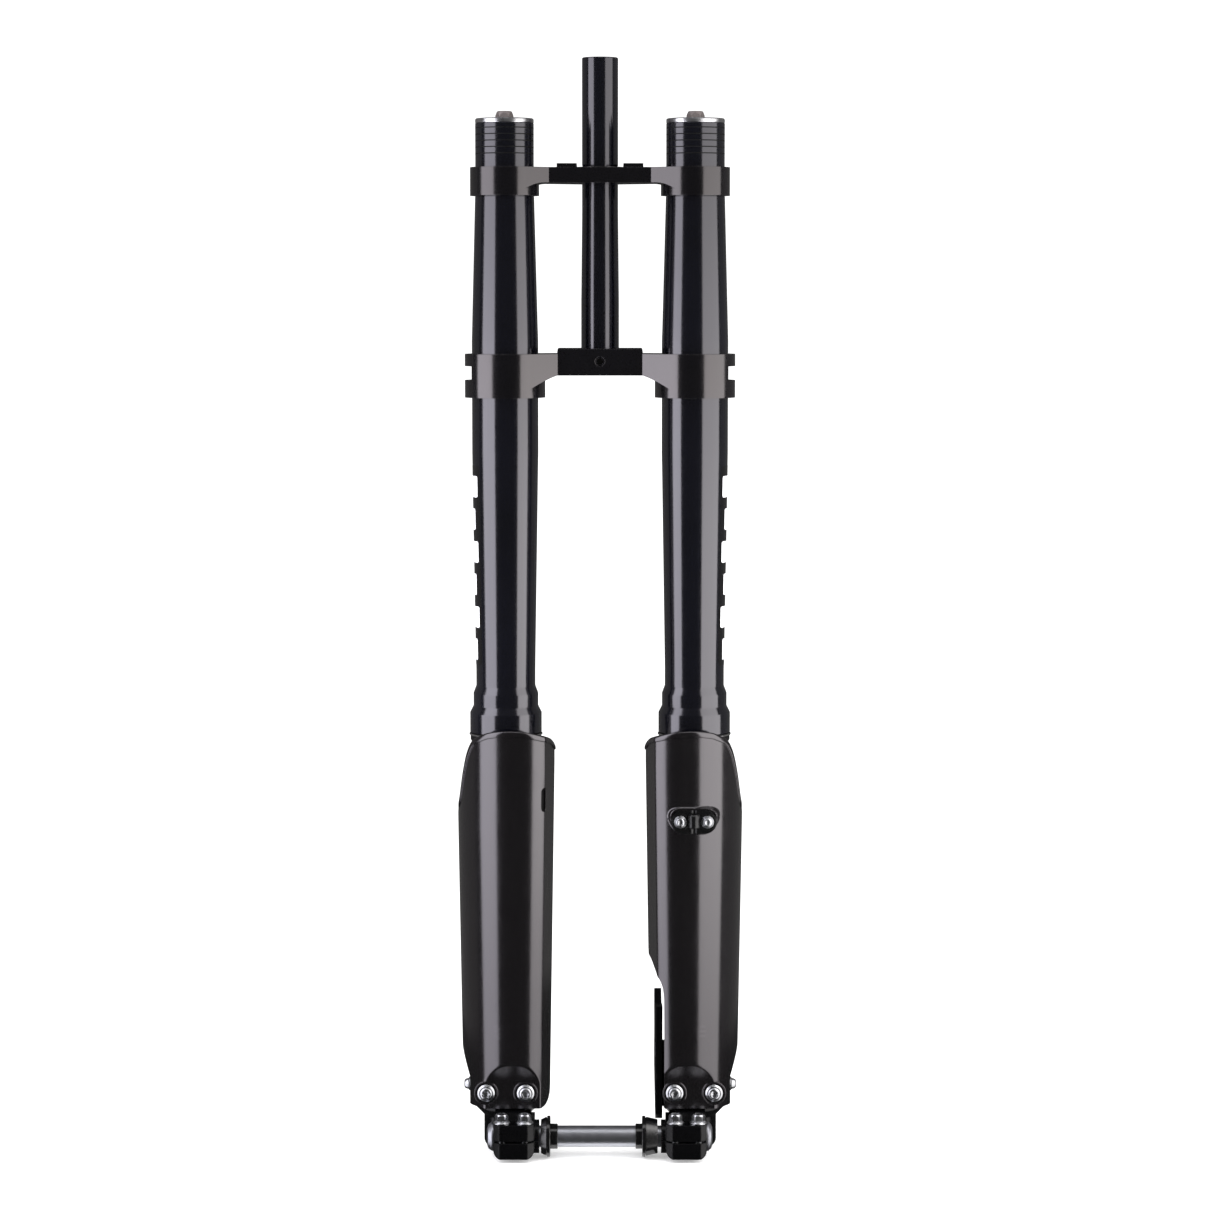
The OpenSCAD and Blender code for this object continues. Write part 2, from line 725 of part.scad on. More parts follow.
module axle_lug_left() {
  color("#101010") difference() {
    union() {
      at_leg(1) axle_lug();
      // pads that carry the caliper bracket
      difference() {
        for (z = bracket_bolt_z) translate([0, bracket_bolt_y, z])
          bar_x(8, bracket_x1 + seat_gap, leg_x - stanchion_r - 3);
        at_leg(1) bar_z(stanchion_r + 1, -625, -500);
      }
    }
    for (z = bracket_bolt_z) translate([0, bracket_bolt_y, z])
      bar_x(clamp_r + seat_gap, bracket_x1 - 1, leg_x - stanchion_r - 0.8);
  }
}

module axle_lug_right() { color("#101010") at_leg(-1) axle_lug(); }

// Hollow bolts up through the feet. The right one holds the damper rod and passes its adjuster.
module foot_bolts() {
  color("silver") for (s = [-1, 1]) at_leg(s) difference() {
    union() {
      bar_hex(8, foot_floor_z - 5.5, foot_floor_z - seat_gap);
      bar_z(foot_bolt_r, foot_floor_z - 1, -593);
    }
    bar_z(2.05, foot_z0, -590);
  }
}

// Rebound knob under the right foot, on a needle inside the foot bolt.
module rebound_knob() {
  color("firebrick") at_leg(-1) {
    rotate_extrude() polygon([
      [0, -639.6], [6.5, -639.6], [7.2, -639], [7.2, -634], [6.6, -633.2], [0, -633.2]
    ]);
    bar_z(2, -634, -598);
  }
}

module axle_pinch_bolts() {
  color("silver") for (s = [-1, 1], x = pinch_x)
    at_leg(s) translate([x, pinch_y, clamp_z1 + seat_gap])
      flange_bolt(clamp_r, 22, 6.85, 5.4, 7.6);
}

// ---- Axle, nut and hub spacers: all round the axle's own line ----

module on_axle() {
  translate([0, -crown_offset - axle_lead, axle_z]) children();
}

// A piece turned round the X axis from a profile of [radius, distance along X].
module turned_x(profile) {
  rotate([0, 90, 0]) rotate_extrude() polygon(profile);
}

axle_end = leg_x + clamp_x1;

// Through axle: bright shaft, domed head with a hexagonal socket, thin threaded end.
module axle() {
  color("silver") on_axle() difference() {
    union() {
      bar_x(axle_r, -axle_end, axle_end + 0.5);
      bar_x(6, -axle_end - 3.5, -axle_end + 1);
      turned_x([
        [0, axle_end + seat_gap], [11.6, axle_end + seat_gap], [11.6, axle_end + 1.6],
        [9.5, axle_end + 3.8], [7, axle_end + 4.8], [0, axle_end + 4.8]
      ]);
    }
    translate([axle_end + 1, 0, 0]) rotate([0, 90, 0]) cylinder(r = 4.6, h = 8, $fn = 6);
  }
}

module axle_nut() {
  color("silver") on_axle() mirror([1, 0, 0]) difference() {
    turned_x([
      [0, axle_end + seat_gap], [11.6, axle_end + seat_gap], [11.6, axle_end + 1.6],
      [9.5, axle_end + 4.4], [6, axle_end + 5.6], [0, axle_end + 5.6]
    ]);
    bar_x(6 + seat_gap, axle_end - 1, axle_end + 3.6);
  }
}

// Hub spacer: collar for the bearing, flange, gap, and a cone to the lug. x runs outward.
module hub_spacer(collar_x, flange_x, flange_end, cone_end) {
  difference() {
    turned_x([
      [0, collar_x], [9.7, collar_x], [10, collar_x + 0.3], [10, flange_x], [15.7, flange_x],
      [16.2, flange_x + 0.5], [16.2, flange_end], [14.6, flange_end], [14.6, flange_end + 0.5],
      [15.5, flange_end + 0.5], [13.4, cone_end], [0, cone_end]
    ]);
    bar_x(axle_r + run_gap, collar_x - 1, cone_end + 1);
  }
}

module hub_spacer_left() { color("#202020") on_axle() hub_spacer(28.2, 33.4, 36, 45.7); }
module hub_spacer_right() {
  color("#202020") on_axle() mirror([1, 0, 0]) hub_spacer(33.8, 39.6, 42.1, 47);
}

// ---- Caliper bracket ----

module caliper_bracket() {
  color("#101010") difference() {
    side_outline(bracket_x0, bracket_x1) polygon([
      [-38, -524.5], [-30, -524.5], [10, -531], [30, -523], [42, -527], [42, -541], [36, -556],
      [42, -572], [42, -590], [30, -594], [-4, -612], [-34, -616], [-38, -612]
    ]);
    for (z = bracket_bolt_z) translate([bracket_x0, bracket_bolt_y, z]) {
      bar_x(clamp_r + seat_gap, -1, bracket_x1 - bracket_x0 + 1);
      translate([-0.01, 0, 0]) rotate([0, 90, 0]) cylinder(r1 = 6.1, r2 = 3, h = 3.1);
    }
    for (s = [-1, 1]) translate([bracket_x0, caliper_y, caliper_z + s * caliper_pitch / 2])
      bar_x(clamp_r + run_gap, -1, bracket_x1 - bracket_x0 + 1);
    // notch in the front edge
    box([bracket_x0 - 1, -39, -583], [bracket_x0 + 0.9, -36, -579]);
  }
}

// Countersunk screws of the caliper bracket, flush with its inner face.
module caliper_bracket_bolts() {
  color("silver") for (z = bracket_bolt_z) translate([bracket_x0, bracket_bolt_y, z]) difference() {
    union() {
      bar_x(clamp_r, 0, 11.3);
      rotate([0, 90, 0]) cylinder(r1 = 6.05, r2 = 2.95, h = 3.1);
    }
    translate([-1, 0, 0]) rotate([0, 90, 0]) cylinder(r = 2.3, h = 3, $fn = 6);
  }
}

// ---- Guards ----

// Plan of the guard's outer surface, shrunk by t.
module guard_plan(t) {
  inner = 1.06 * t;
  intersection() {
    union() {
      translate([guard_cx, 0]) circle(r = guard_r - t);
      polygon([
        [-guard_r + guard_cx + t, 0], [guard_r + guard_cx - t, 0], [guard_r - t + 0.1, 16],
        [guard_r - t + 0.1, 40], [-guard_r + guard_cx + t, 40]
      ]);
    }
    polygon([
      [-18.8 + inner, -60], [-38.5 + inner, -5], [-38.5 + inner, 40], [60, 40], [60, -60]
    ]);
  }
}

// The guard's outer form as a solid, shrunk by t, narrower towards the foot.
module guard_form(t, z0, z1, y1) {
  intersection() {
    translate([0, 0, z0]) linear_extrude(z1 - z0) guard_plan(t);
    front_outline(-60, y1) polygon([
      [-38.6 + t, z1 + 1], [-38.6 + t, -330], [-34.4 + t, z0 - 1],
      [35.5 - t, z0 - 1], [39.2 - t, -375], [39.2 - t, z1 + 1]
    ]);
  }
}

// Everything in front of the sloping seat of the front screws; back moves the seat rearward.
module front_scoop(back) {
  side_outline(-30, 30) polygon([
    [-70, -640], [seat_y + back, -640], [seat_y + back, seat_top_z],
    [-guard_r - 0.3 + back, -558], [-70, -558]
  ]);
}

// Everything outside the sloping seat of the side screw; back moves the seat inward.
module side_scoop(back) {
  front_outline(-26, 60) polygon([
    [70, -640], [side_seat_x - back, -640], [side_seat_x - back, seat_top_z],
    [37 - back, -559], [70, -559]
  ]);
}

// The wing's top edge falls away round the outer side.
module wing_cut() {
  side_outline(4, 70) polygon([
    [-33, -297], [-22.3, -316], [-16, -335], [-8, -347], [2, -359], [16, -377], [60, -380], [60, -297]
  ]);
}

module guard_shell() {
  difference() {
    union() {
      difference() {
        guard_form(0, guard_z0, guard_z1, 16);
        guard_form(guard_wall, guard_z0 - 5, guard_z1 + 5, 60);
      }
      intersection() {
        guard_form(0, guard_z0, guard_z1, 16);
        union() {
          difference() {
            front_scoop(seat_wall);
            front_scoop(0);
          }
          difference() {
            side_scoop(seat_wall);
            side_scoop(0);
          }
        }
        // keeps the seats' plates out of the space of the seal head
        box([-60, -60, -620], [60, 12, -557]);
      }
    }
    front_scoop(0);
    side_scoop(0);
    wing_cut();
    // clear of the lug behind the side seat
    bar_z(socket_r + 0.8, -620, -550);
    for (x = [-front_screw_x, front_screw_x])
      translate([x, 0, front_screw_z]) bar_y(clamp_r + 0.1, -60, -20);
    translate([0, side_screw_y, side_screw_z]) bar_x(clamp_r + 0.1, 20, 60);
  }
}

// The pad and oval recess that take the hose guide.
module hose_pad(w, h, y0, y1) {
  translate([guard_cx, 0, hose_z]) front_outline(y0, y1) stadium(w, h);
}

module guard_left() {
  color("#181818") at_leg(1) difference() {
    union() {
      guard_shell();
      difference() {
        hose_pad(40, 22, -guard_r - 1, -guard_r + 5.5);
        guard_form(guard_wall + 1.5, -420, -330, 60);
      }
    }
    hose_pad(37, 20, -60, -guard_r + 1.5);
    for (s = [-1, 1])
      translate([guard_cx + s * hose_dx, 0, hose_z]) bar_y(2 + run_gap, -60, -20);
    // cut away on the inner side for the caliper bracket
    front_outline(-60, 60) polygon([
      [-60, -483], [-33.5, -483], [-29, -490], [-24, -499], [-22.5, -508], [-22.5, -640], [-60, -640]
    ]);
  }
}

module guard_right() { color("#181818") at_leg(-1) guard_shell(); }

module guard_front_screws() {
  color("silver") for (s = [-1, 1], x = [-front_screw_x, front_screw_x])
    at_leg(s) translate([x, seat_y - seat_gap, front_screw_z]) rotate([90, 0, 0])
      button_screw(clamp_r, 10.5, 6.9, 4.6, 2.4);
}

module guard_side_screws() {
  color("silver") for (s = [-1, 1])
    at_leg(s) translate([side_seat_x + seat_gap, side_screw_y, side_screw_z]) rotate([0, 90, 0])
      button_screw(clamp_r, 9, 5.5, 4.8, 2.4);
}

// Hose guide: two screw bosses with an arch between them that the hose runs through.
module hose_guide() {
  color("#101010") at_leg(1) difference() {
    union() {
      hose_pad(36, 18.5, -guard_r - 2.4, -guard_r + 1.5 - seat_gap);
      translate([guard_cx, hose_y, hose_z]) bar_z(5.2, -7.5, 7.5);
    }
    translate([guard_cx, hose_y, hose_z]) bar_z(hose_r, -20, 20);
    for (s = [-1, 1])
      translate([guard_cx + s * hose_dx, 0, hose_z]) bar_y(2 + seat_gap, -60, -20);
  }
}

module hose_guide_screws() {
  color("silver") at_leg(1) for (s = [-1, 1])
    translate([guard_cx + s * hose_dx, -guard_r - 2.4 - seat_gap, hose_z]) rotate([90, 0, 0])
      button_screw(2, 7, 5, 3.4, 1.8);
}

// ---- Nodes ----

steerer_tube();
upper_crown();
lower_crown();
upper_crown_bolts();
lower_crown_bolts();
outer_tube_left();
outer_tube_right();
top_cap_left();
top_cap_right();
top_cap_oring_left();
top_cap_oring_right();
preload_knob();
compression_knob();
lower_bush_left();
lower_bush_right();
seal_washer_left();
seal_washer_right();
oil_seal_left();
oil_seal_right();
snap_ring_left();
snap_ring_right();
dust_seal_left();
dust_seal_right();
garter_spring_left();
garter_spring_right();
damper_cartridge();
cartridge_gland();
damper_rod();
damper_piston();
piston_nut();
bump_stop();
preload_tube();
coil_spring();
spring_seat();
stanchion_left();
stanchion_right();
upper_bush_left();
upper_bush_right();
axle_lug_left();
axle_lug_right();
foot_bolts();
rebound_knob();
axle_pinch_bolts();
axle();
axle_nut();
hub_spacer_left();
hub_spacer_right();
caliper_bracket();
caliper_bracket_bolts();
guard_left();
guard_right();
guard_front_screws();
guard_side_screws();
hose_guide();
hose_guide_screws();
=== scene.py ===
import json
import math

import bmesh
import bpy
import numpy as np
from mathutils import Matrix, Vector


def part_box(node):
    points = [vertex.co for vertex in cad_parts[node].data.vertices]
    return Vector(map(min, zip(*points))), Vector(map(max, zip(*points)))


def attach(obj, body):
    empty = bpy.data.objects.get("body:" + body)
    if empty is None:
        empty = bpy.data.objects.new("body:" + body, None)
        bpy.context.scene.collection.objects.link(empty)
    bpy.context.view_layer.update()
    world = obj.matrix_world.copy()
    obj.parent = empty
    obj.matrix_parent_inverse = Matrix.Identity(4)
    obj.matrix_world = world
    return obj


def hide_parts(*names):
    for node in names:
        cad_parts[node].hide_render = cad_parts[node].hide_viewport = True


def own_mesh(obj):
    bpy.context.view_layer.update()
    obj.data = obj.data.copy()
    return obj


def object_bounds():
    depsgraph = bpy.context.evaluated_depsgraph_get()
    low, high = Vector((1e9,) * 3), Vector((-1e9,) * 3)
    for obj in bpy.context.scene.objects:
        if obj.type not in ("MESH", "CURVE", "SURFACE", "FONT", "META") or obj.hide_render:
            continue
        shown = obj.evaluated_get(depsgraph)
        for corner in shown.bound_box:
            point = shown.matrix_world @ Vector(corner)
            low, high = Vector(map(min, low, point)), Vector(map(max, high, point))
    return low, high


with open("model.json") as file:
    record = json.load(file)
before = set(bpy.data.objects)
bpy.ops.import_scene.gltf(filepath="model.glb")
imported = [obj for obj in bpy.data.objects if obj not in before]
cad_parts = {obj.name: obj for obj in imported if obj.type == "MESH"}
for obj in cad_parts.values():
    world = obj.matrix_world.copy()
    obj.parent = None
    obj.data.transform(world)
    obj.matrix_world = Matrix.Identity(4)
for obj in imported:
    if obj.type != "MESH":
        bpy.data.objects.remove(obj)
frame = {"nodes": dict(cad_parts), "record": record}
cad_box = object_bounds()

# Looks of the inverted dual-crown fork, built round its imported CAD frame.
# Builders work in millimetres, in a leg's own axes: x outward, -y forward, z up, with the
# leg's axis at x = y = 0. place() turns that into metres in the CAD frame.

MM = 0.001
SIDES = {"left": 1, "right": -1}
SHARP = 35    # degrees: edges that turn by more stay sharp


# ---- Places taken from the frame ----

def box_mm(node):
    """Lowest and highest corners of a CAD node, in millimetres."""
    low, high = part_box(node)
    return np.array(low) / MM, np.array(high) / MM


tube_low, tube_high = box_mm("outer_tube_left")
LEG_X, LEG_Y = (tube_low[:2] + tube_high[:2]) / 2
guard_low, guard_high = box_mm("guard_right")
GUARD_TOP, GUARD_FOOT = guard_high[2], guard_low[2]
GUARD_R = LEG_Y - guard_low[1]
GUARD_X = -1.0
HOSE_Z = sum(corner[2] for corner in box_mm("hose_guide")) / 2
SPRING_LOW, SPRING_HIGH = (corner[2] for corner in box_mm("coil_spring"))
FLOOR_Z = cad_box[0][2]


def place(points, side):
    """Points in a leg's own axes to metres in the CAD frame; side is 1 (left) or -1 (right)."""
    points = np.asarray(points, float)
    return (points * [side, 1, 1] + [side * LEG_X, LEG_Y, 0]) * MM


def solids(node):
    """(low, high) of each separate solid in a CAD node, in millimetres."""
    mesh = frame["nodes"][node].data
    points = np.zeros(len(mesh.vertices) * 3)
    mesh.vertices.foreach_get("co", points)
    points = points.reshape(-1, 3) / MM
    _, weld = np.unique(points.round(3), axis=0, return_inverse=True)
    weld = weld.ravel()
    ends = np.zeros(len(mesh.edges) * 2, int)
    mesh.edges.foreach_get("vertices", ends)
    first, second = weld[ends].reshape(-1, 2).T
    label = np.arange(weld.max() + 1)
    while True:
        before = label.copy()
        lowest = np.minimum(label[first], label[second])
        np.minimum.at(label, first, lowest)
        np.minimum.at(label, second, lowest)
        if (label == before).all():
            break
    owner = label[weld]
    return [(points[owner == k].min(0), points[owner == k].max(0)) for k in np.unique(owner)]


# ---- Mesh tools ----

def make_object(name, points, faces, sharp=SHARP):
    """A mesh object in metres, normals outward, smooth except at edges over sharp degrees."""
    mesh = bpy.data.meshes.new(name)
    mesh.from_pydata([tuple(p) for p in points], [], faces)
    obj = bpy.data.objects.new(name, mesh)
    bpy.context.scene.collection.objects.link(obj)
    tidy_mesh(obj, sharp)
    return obj


def tidy_mesh(obj, sharp=SHARP):
    """Turns every face of the closed shells outward and sets the shading."""
    shell = bmesh.new()
    shell.from_mesh(obj.data)
    bmesh.ops.recalc_face_normals(shell, faces=shell.faces)
    shell.to_mesh(obj.data)
    shell.free()
    obj.data.shade_smooth()
    obj.data.set_sharp_from_angle(angle=math.radians(sharp))


def apply_modifiers(obj, sharp=SHARP):
    """Replaces the mesh with what its modifiers make of it."""
    graph = bpy.context.evaluated_depsgraph_get()
    graph.update()
    mesh = bpy.data.meshes.new_from_object(obj.evaluated_get(graph))
    obj.modifiers.clear()
    obj.data = mesh
    tidy_mesh(obj, sharp)


def hexagon(radius, angle):
    """Radius of a hexagon of that corner radius at an angle, with a corner at angle 0."""
    sixth = math.pi / 3
    return radius * math.cos(sixth / 2) / np.cos(angle % sixth - sixth / 2)


def lathe(profile, segments=72):
    """Points and faces of a turned solid. profile runs from the axis, out, and back to it:
    (radius, height), or (radius, height, "hex") where that ring is a hexagon."""
    angle = np.arange(segments) * 2 * math.pi / segments
    points = [(0.0, 0.0, profile[0][1])]
    for radius, height, *form in profile[1:-1]:
        reach = hexagon(radius, angle) if form else np.full(segments, float(radius))
        points += zip(reach * np.cos(angle), reach * np.sin(angle), np.full(segments, height))
    points.append((0.0, 0.0, profile[-1][1]))
    last, rings = len(points) - 1, len(profile) - 2
    faces = []
    for j in range(segments):
        k = (j + 1) % segments
        faces.append((0, 1 + k, 1 + j))
        for ring in range(rings - 1):
            low, high = 1 + ring * segments, 1 + (ring + 1) * segments
            faces.append((low + j, low + k, high + k, high + j))
        top = 1 + (rings - 1) * segments
        faces.append((top + j, top + k, last))
    return np.array(points), faces


def joined(parts):
    """Several (points, faces) as one."""
    points, faces, count = [], [], 0
    for some_points, some_faces in parts:
        points.append(some_points)
        faces += [tuple(i + count for i in face) for face in some_faces]
        count += len(some_points)
    return np.vstack(points), faces


def turned_to(points, direction, origin):
    """Points drawn round +Z, turned so that +Z is direction, then moved to origin."""
    turn = Vector((0, 0, 1)).rotation_difference(Vector(direction)).to_matrix()
    return points @ np.array(turn).T + np.array(origin)


def smooth_step(x, start, end):
    """0 at start, 1 at end, smooth between."""
    t = np.clip((x - start) / (end - start), 0, 1)
    return t * t * (3 - 2 * t)


def soft_max(a, b, reach):
    """The larger of a and b, rounded where they meet."""
    h = np.clip(0.5 + 0.5 * (a - b) / reach, 0, 1)
    return b + (a - b) * h + reach * h * (1 - h)


def curve_through(x, points):
    """A smooth curve through (x, y) points, without overshoot."""
    xs, ys = np.array(points, float).T
    secant = np.diff(ys) / np.diff(xs)
    slope = np.concatenate([[secant[0]], np.zeros(len(xs) - 2), [secant[-1]]])
    same = secant[:-1] * secant[1:] > 0
    with np.errstate(divide="ignore", invalid="ignore"):
        mean = 2 * secant[:-1] * secant[1:] / (secant[:-1] + secant[1:])
    slope[1:-1] = np.where(same, mean, 0)
    x = np.clip(x, xs[0], xs[-1])
    i = np.clip(np.searchsorted(xs, x) - 1, 0, len(xs) - 2)
    width = xs[i + 1] - xs[i]
    t = (x - xs[i]) / width
    return (ys[i] * (1 + 2 * t) * (1 - t) ** 2 + slope[i] * width * t * (1 - t) ** 2
            + ys[i + 1] * t * t * (3 - 2 * t) + slope[i + 1] * width * t * t * (t - 1))


def inside_outline(u, v, outline):
    """Signed distance from (u, v) to a closed outline, positive inside."""
    outline = np.asarray(outline, float)
    nearest = np.full(u.shape, np.inf)
    inside = np.zeros(u.shape, bool)
    for (u0, v0), (u1, v1) in zip(outline, np.roll(outline, -1, axis=0)):
        du, dv = u1 - u0, v1 - v0
        if du == dv == 0:
            continue
        t = np.clip(((u - u0) * du + (v - v0) * dv) / (du * du + dv * dv), 0, 1)
        nearest = np.minimum(nearest, np.hypot(u - u0 - t * du, v - v0 - t * dv))
        crosses = (v0 > v) != (v1 > v)
        if dv != 0:
            inside ^= crosses & (u < u0 + (v - v0) * du / dv)
    return np.where(inside, nearest, -nearest)


def graded(*stretches):
    """Grid lines: each stretch is (start, end, step)."""
    lines = [np.linspace(a, b, max(2, round(abs(b - a) / step) + 1)) for a, b, step in stretches]
    return np.unique(np.concatenate(lines).round(4))


def trimmed_sheet(us, vs, inside, surface):
    """An open sheet over the grid us x vs, cut cleanly along inside(u, v) = 0.
    surface(u, v) gives its points. Returns points and faces."""
    grid_u, grid_v = np.meshgrid(us, vs, indexing="ij")
    depth = inside(grid_u, grid_v)
    keep, cols = depth >= 0, len(vs)
    uv = list(zip(grid_u.ravel(), grid_v.ravel()))
    flat, used, cuts, faces = depth.ravel(), {}, {}, []

    def corner(i):
        return used.setdefault(i, len(used) + len(cuts))

    def cut(i, j):
        key = (min(i, j), max(i, j))
        if key not in cuts:
            share = np.clip(flat[key[0]] / (flat[key[0]] - flat[key[1]]), 0.12, 0.88)
            a, b = uv[key[0]], uv[key[1]]
            spot = (a[0] + (b[0] - a[0]) * share, a[1] + (b[1] - a[1]) * share)
            cuts[key] = (len(used) + len(cuts), spot)
        return cuts[key][0]

    some = keep[:-1, :-1] | keep[1:, :-1] | keep[1:, 1:] | keep[:-1, 1:]
    for i, j in np.argwhere(some):
        ring = [i * cols + j, (i + 1) * cols + j, (i + 1) * cols + j + 1, i * cols + j + 1]
        face = []
        for a, b in zip(ring, ring[1:] + ring[:1]):
            if flat[a] >= 0:
                face.append(corner(a))
            if (flat[a] >= 0) != (flat[b] >= 0):
                face.append(cut(a, b))
        if len(face) > 2:
            faces.append(tuple(face))
    spots = np.zeros((len(used) + len(cuts), 2))
    for i, index in used.items():
        spots[index] = uv[i]
    for index, spot in cuts.values():
        spots[index] = spot
    return surface(spots[:, 0], spots[:, 1]), faces


def thicken(obj, thickness, outward_from):
    """Gives an open sheet a wall inward; outward_from is a point on its hollow side."""
    mesh = obj.data
    centre = Vector(outward_from)
    facing = sum(p.normal.dot((p.center - centre) * Vector((1, 1, 0))) * p.area
                 for p in mesh.polygons)
    if facing < 0:
        mesh.flip_normals()
    wall = obj.modifiers.new("wall", "SOLIDIFY")
    wall.thickness = thickness
    wall.offset = -1
    apply_modifiers(obj)


def sweep(path, normals, section):
    """A closed bar: section is (along the normal, along the side) points, swept along path."""
    path, normals = np.asarray(path), np.asarray(normals)
    tangent = np.gradient(path, axis=0)
    tangent /= np.linalg.norm(tangent, axis=1)[:, None]
    normals = normals - (normals * tangent).sum(1)[:, None] * tangent
    normals /= np.linalg.norm(normals, axis=1)[:, None]
    across = np.cross(normals, tangent)
    points = [p + a * n + b * s for p, n, s in zip(path, normals, across) for a, b in section]
    size, rings = len(section), len(path)
    faces = [tuple(range(size)), tuple(range((rings - 1) * size, rings * size))]
    for i in range(rings - 1):
        for j in range(size):
            k = (j + 1) % size
            faces.append((i * size + j, i * size + k, (i + 1) * size + k, (i + 1) * size + j))
    return np.array(points), faces


def rounded(outline, rounds=2):
    """Cuts the corners of a closed outline, to round it."""
    outline = np.asarray(outline, float)
    for _ in range(rounds):
        after = np.roll(outline, -1, axis=0)
        outline = np.stack([0.75 * outline + 0.25 * after, 0.25 * outline + 0.75 * after], 1)
        outline = outline.reshape(-1, 2)
    return outline


# ---- Materials ----

def add(tree, kind, inputs=None, **settings):
    """A shader node with its settings and inputs; an input is a value or another socket."""
    made = tree.nodes.new("ShaderNode" + kind)
    for name, value in settings.items():
        setattr(made, name, value)
    for key, value in (inputs or {}).items():
        if isinstance(value, bpy.types.NodeSocket):
            tree.links.new(value, made.inputs[key])
        else:
            made.inputs[key].default_value = value
    return made


def noise(tree, where, scale, detail=4.0, rough=0.55, stretch=(1, 1, 1)):
    """Noise at a scale per metre, stretched along the axes."""
    spot = add(tree, "Mapping", {"Vector": where, "Scale": stretch}).outputs["Vector"]
    made = add(tree, "TexNoise", {"Vector": spot, "Scale": scale, "Detail": detail,
                                  "Roughness": rough})
    return made.outputs["Fac"]


def span(tree, value, low, high, from_low=0.3, from_high=0.7):
    """Maps a texture's middle range onto low..high."""
    made = add(tree, "MapRange", {"Value": value, "From Min": from_low, "From Max": from_high,
                                  "To Min": low, "To Max": high})
    return made.outputs["Result"]


def mixed(tree, share, first, second):
    """A colour between two."""
    made = add(tree, "Mix", {"Factor": share}, data_type="RGBA")
    for socket, value in ((made.inputs[6], first), (made.inputs[7], second)):
        if isinstance(value, bpy.types.NodeSocket):
            tree.links.new(value, socket)
        else:
            socket.default_value = (*value, 1)
    return made.outputs[2]


def surface_material(slot, colour, rough, metallic=0.0, specular=0.5, spread=0.25,
                     grain=900, grain_height=0.02, stretch=(1, 1, 1), edge=0.4,
                     worn=None, wear=0.6, blotch=14, rough_spread=0.25, dust=0.0,
                     sheen_tint=(1, 1, 1)):
    """A finish with blotches, fine grain, uneven gloss, softened edges and worn edges.
    edge is the edge radius in millimetres that light sees, and worn the colour under it."""
    material = bpy.data.materials.new("look_" + slot)
    material.use_nodes = True
    tree = material.node_tree
    tree.nodes.clear()
    where = add(tree, "TexCoord").outputs["Object"]
    broad = noise(tree, where, blotch, 3)
    fine = noise(tree, where, grain, 3, 0.6, stretch)
    scuff = noise(tree, where, 160, 6, 0.7, (1, 1, 0.35))
    dark = tuple(c * (1 - spread) for c in colour)
    light = tuple(min(1, c * (1 + spread)) for c in colour)
    tint = mixed(tree, span(tree, broad, 0, 1), dark, light)
    smooth = add(tree, "Bevel", {"Radius": edge * MM}, samples=4).outputs["Normal"]
    if worn:
        flat = add(tree, "NewGeometry").outputs["Normal"]
        match = add(tree, "VectorMath", {0: smooth, 1: flat}, operation="DOT_PRODUCT")
        rim = span(tree, match.outputs["Value"], 1, 0, 0.90, 0.985)
        patchy = span(tree, scuff, 0, wear, 0.45, 0.62)
        share = add(tree, "Math", {0: rim, 1: patchy}, operation="MULTIPLY").outputs[0]
        tint = mixed(tree, share, tint, worn)
    if dust:
        specks = span(tree, noise(tree, where, 1500, 2, 0.5), 0, dust, 0.62, 0.74)
        tint = mixed(tree, specks, tint, (0.35, 0.34, 0.33))
    gloss = span(tree, scuff, rough * (1 - rough_spread), rough * (1 + rough_spread))
    bump = add(tree, "Bump", {"Height": fine, "Normal": smooth, "Strength": grain_height * 10,
                              "Distance": 0.1 * MM})
    shader = add(tree, "BsdfPrincipled", {
        "Base Color": tint, "Metallic": metallic, "Roughness": gloss,
        "Specular IOR Level": specular, "IOR": 1.92, "Normal": bump.outputs["Normal"],
        "Specular Tint": (*sheen_tint, 1)})
    out = add(tree, "OutputMaterial")
    tree.links.new(shader.outputs[0], out.inputs[0])
    return material


def brushed_material(slot, colour, rough, axis, anisotropy=0.75, **look):
    """Metal with a highlight drawn out along the turning axis, as on a turned bar."""
    material = surface_material(slot, colour, rough, metallic=1.0, **look)
    tree = material.node_tree
    shader = tree.nodes["Principled BSDF"]
    tangent = add(tree, "Tangent", direction_type="RADIAL", axis=axis)
    tree.links.new(tangent.outputs[0], shader.inputs["Tangent"])
    shader.inputs["Anisotropic"].default_value = anisotropy
    shader.inputs["Anisotropic Rotation"].default_value = 0.25
    return material


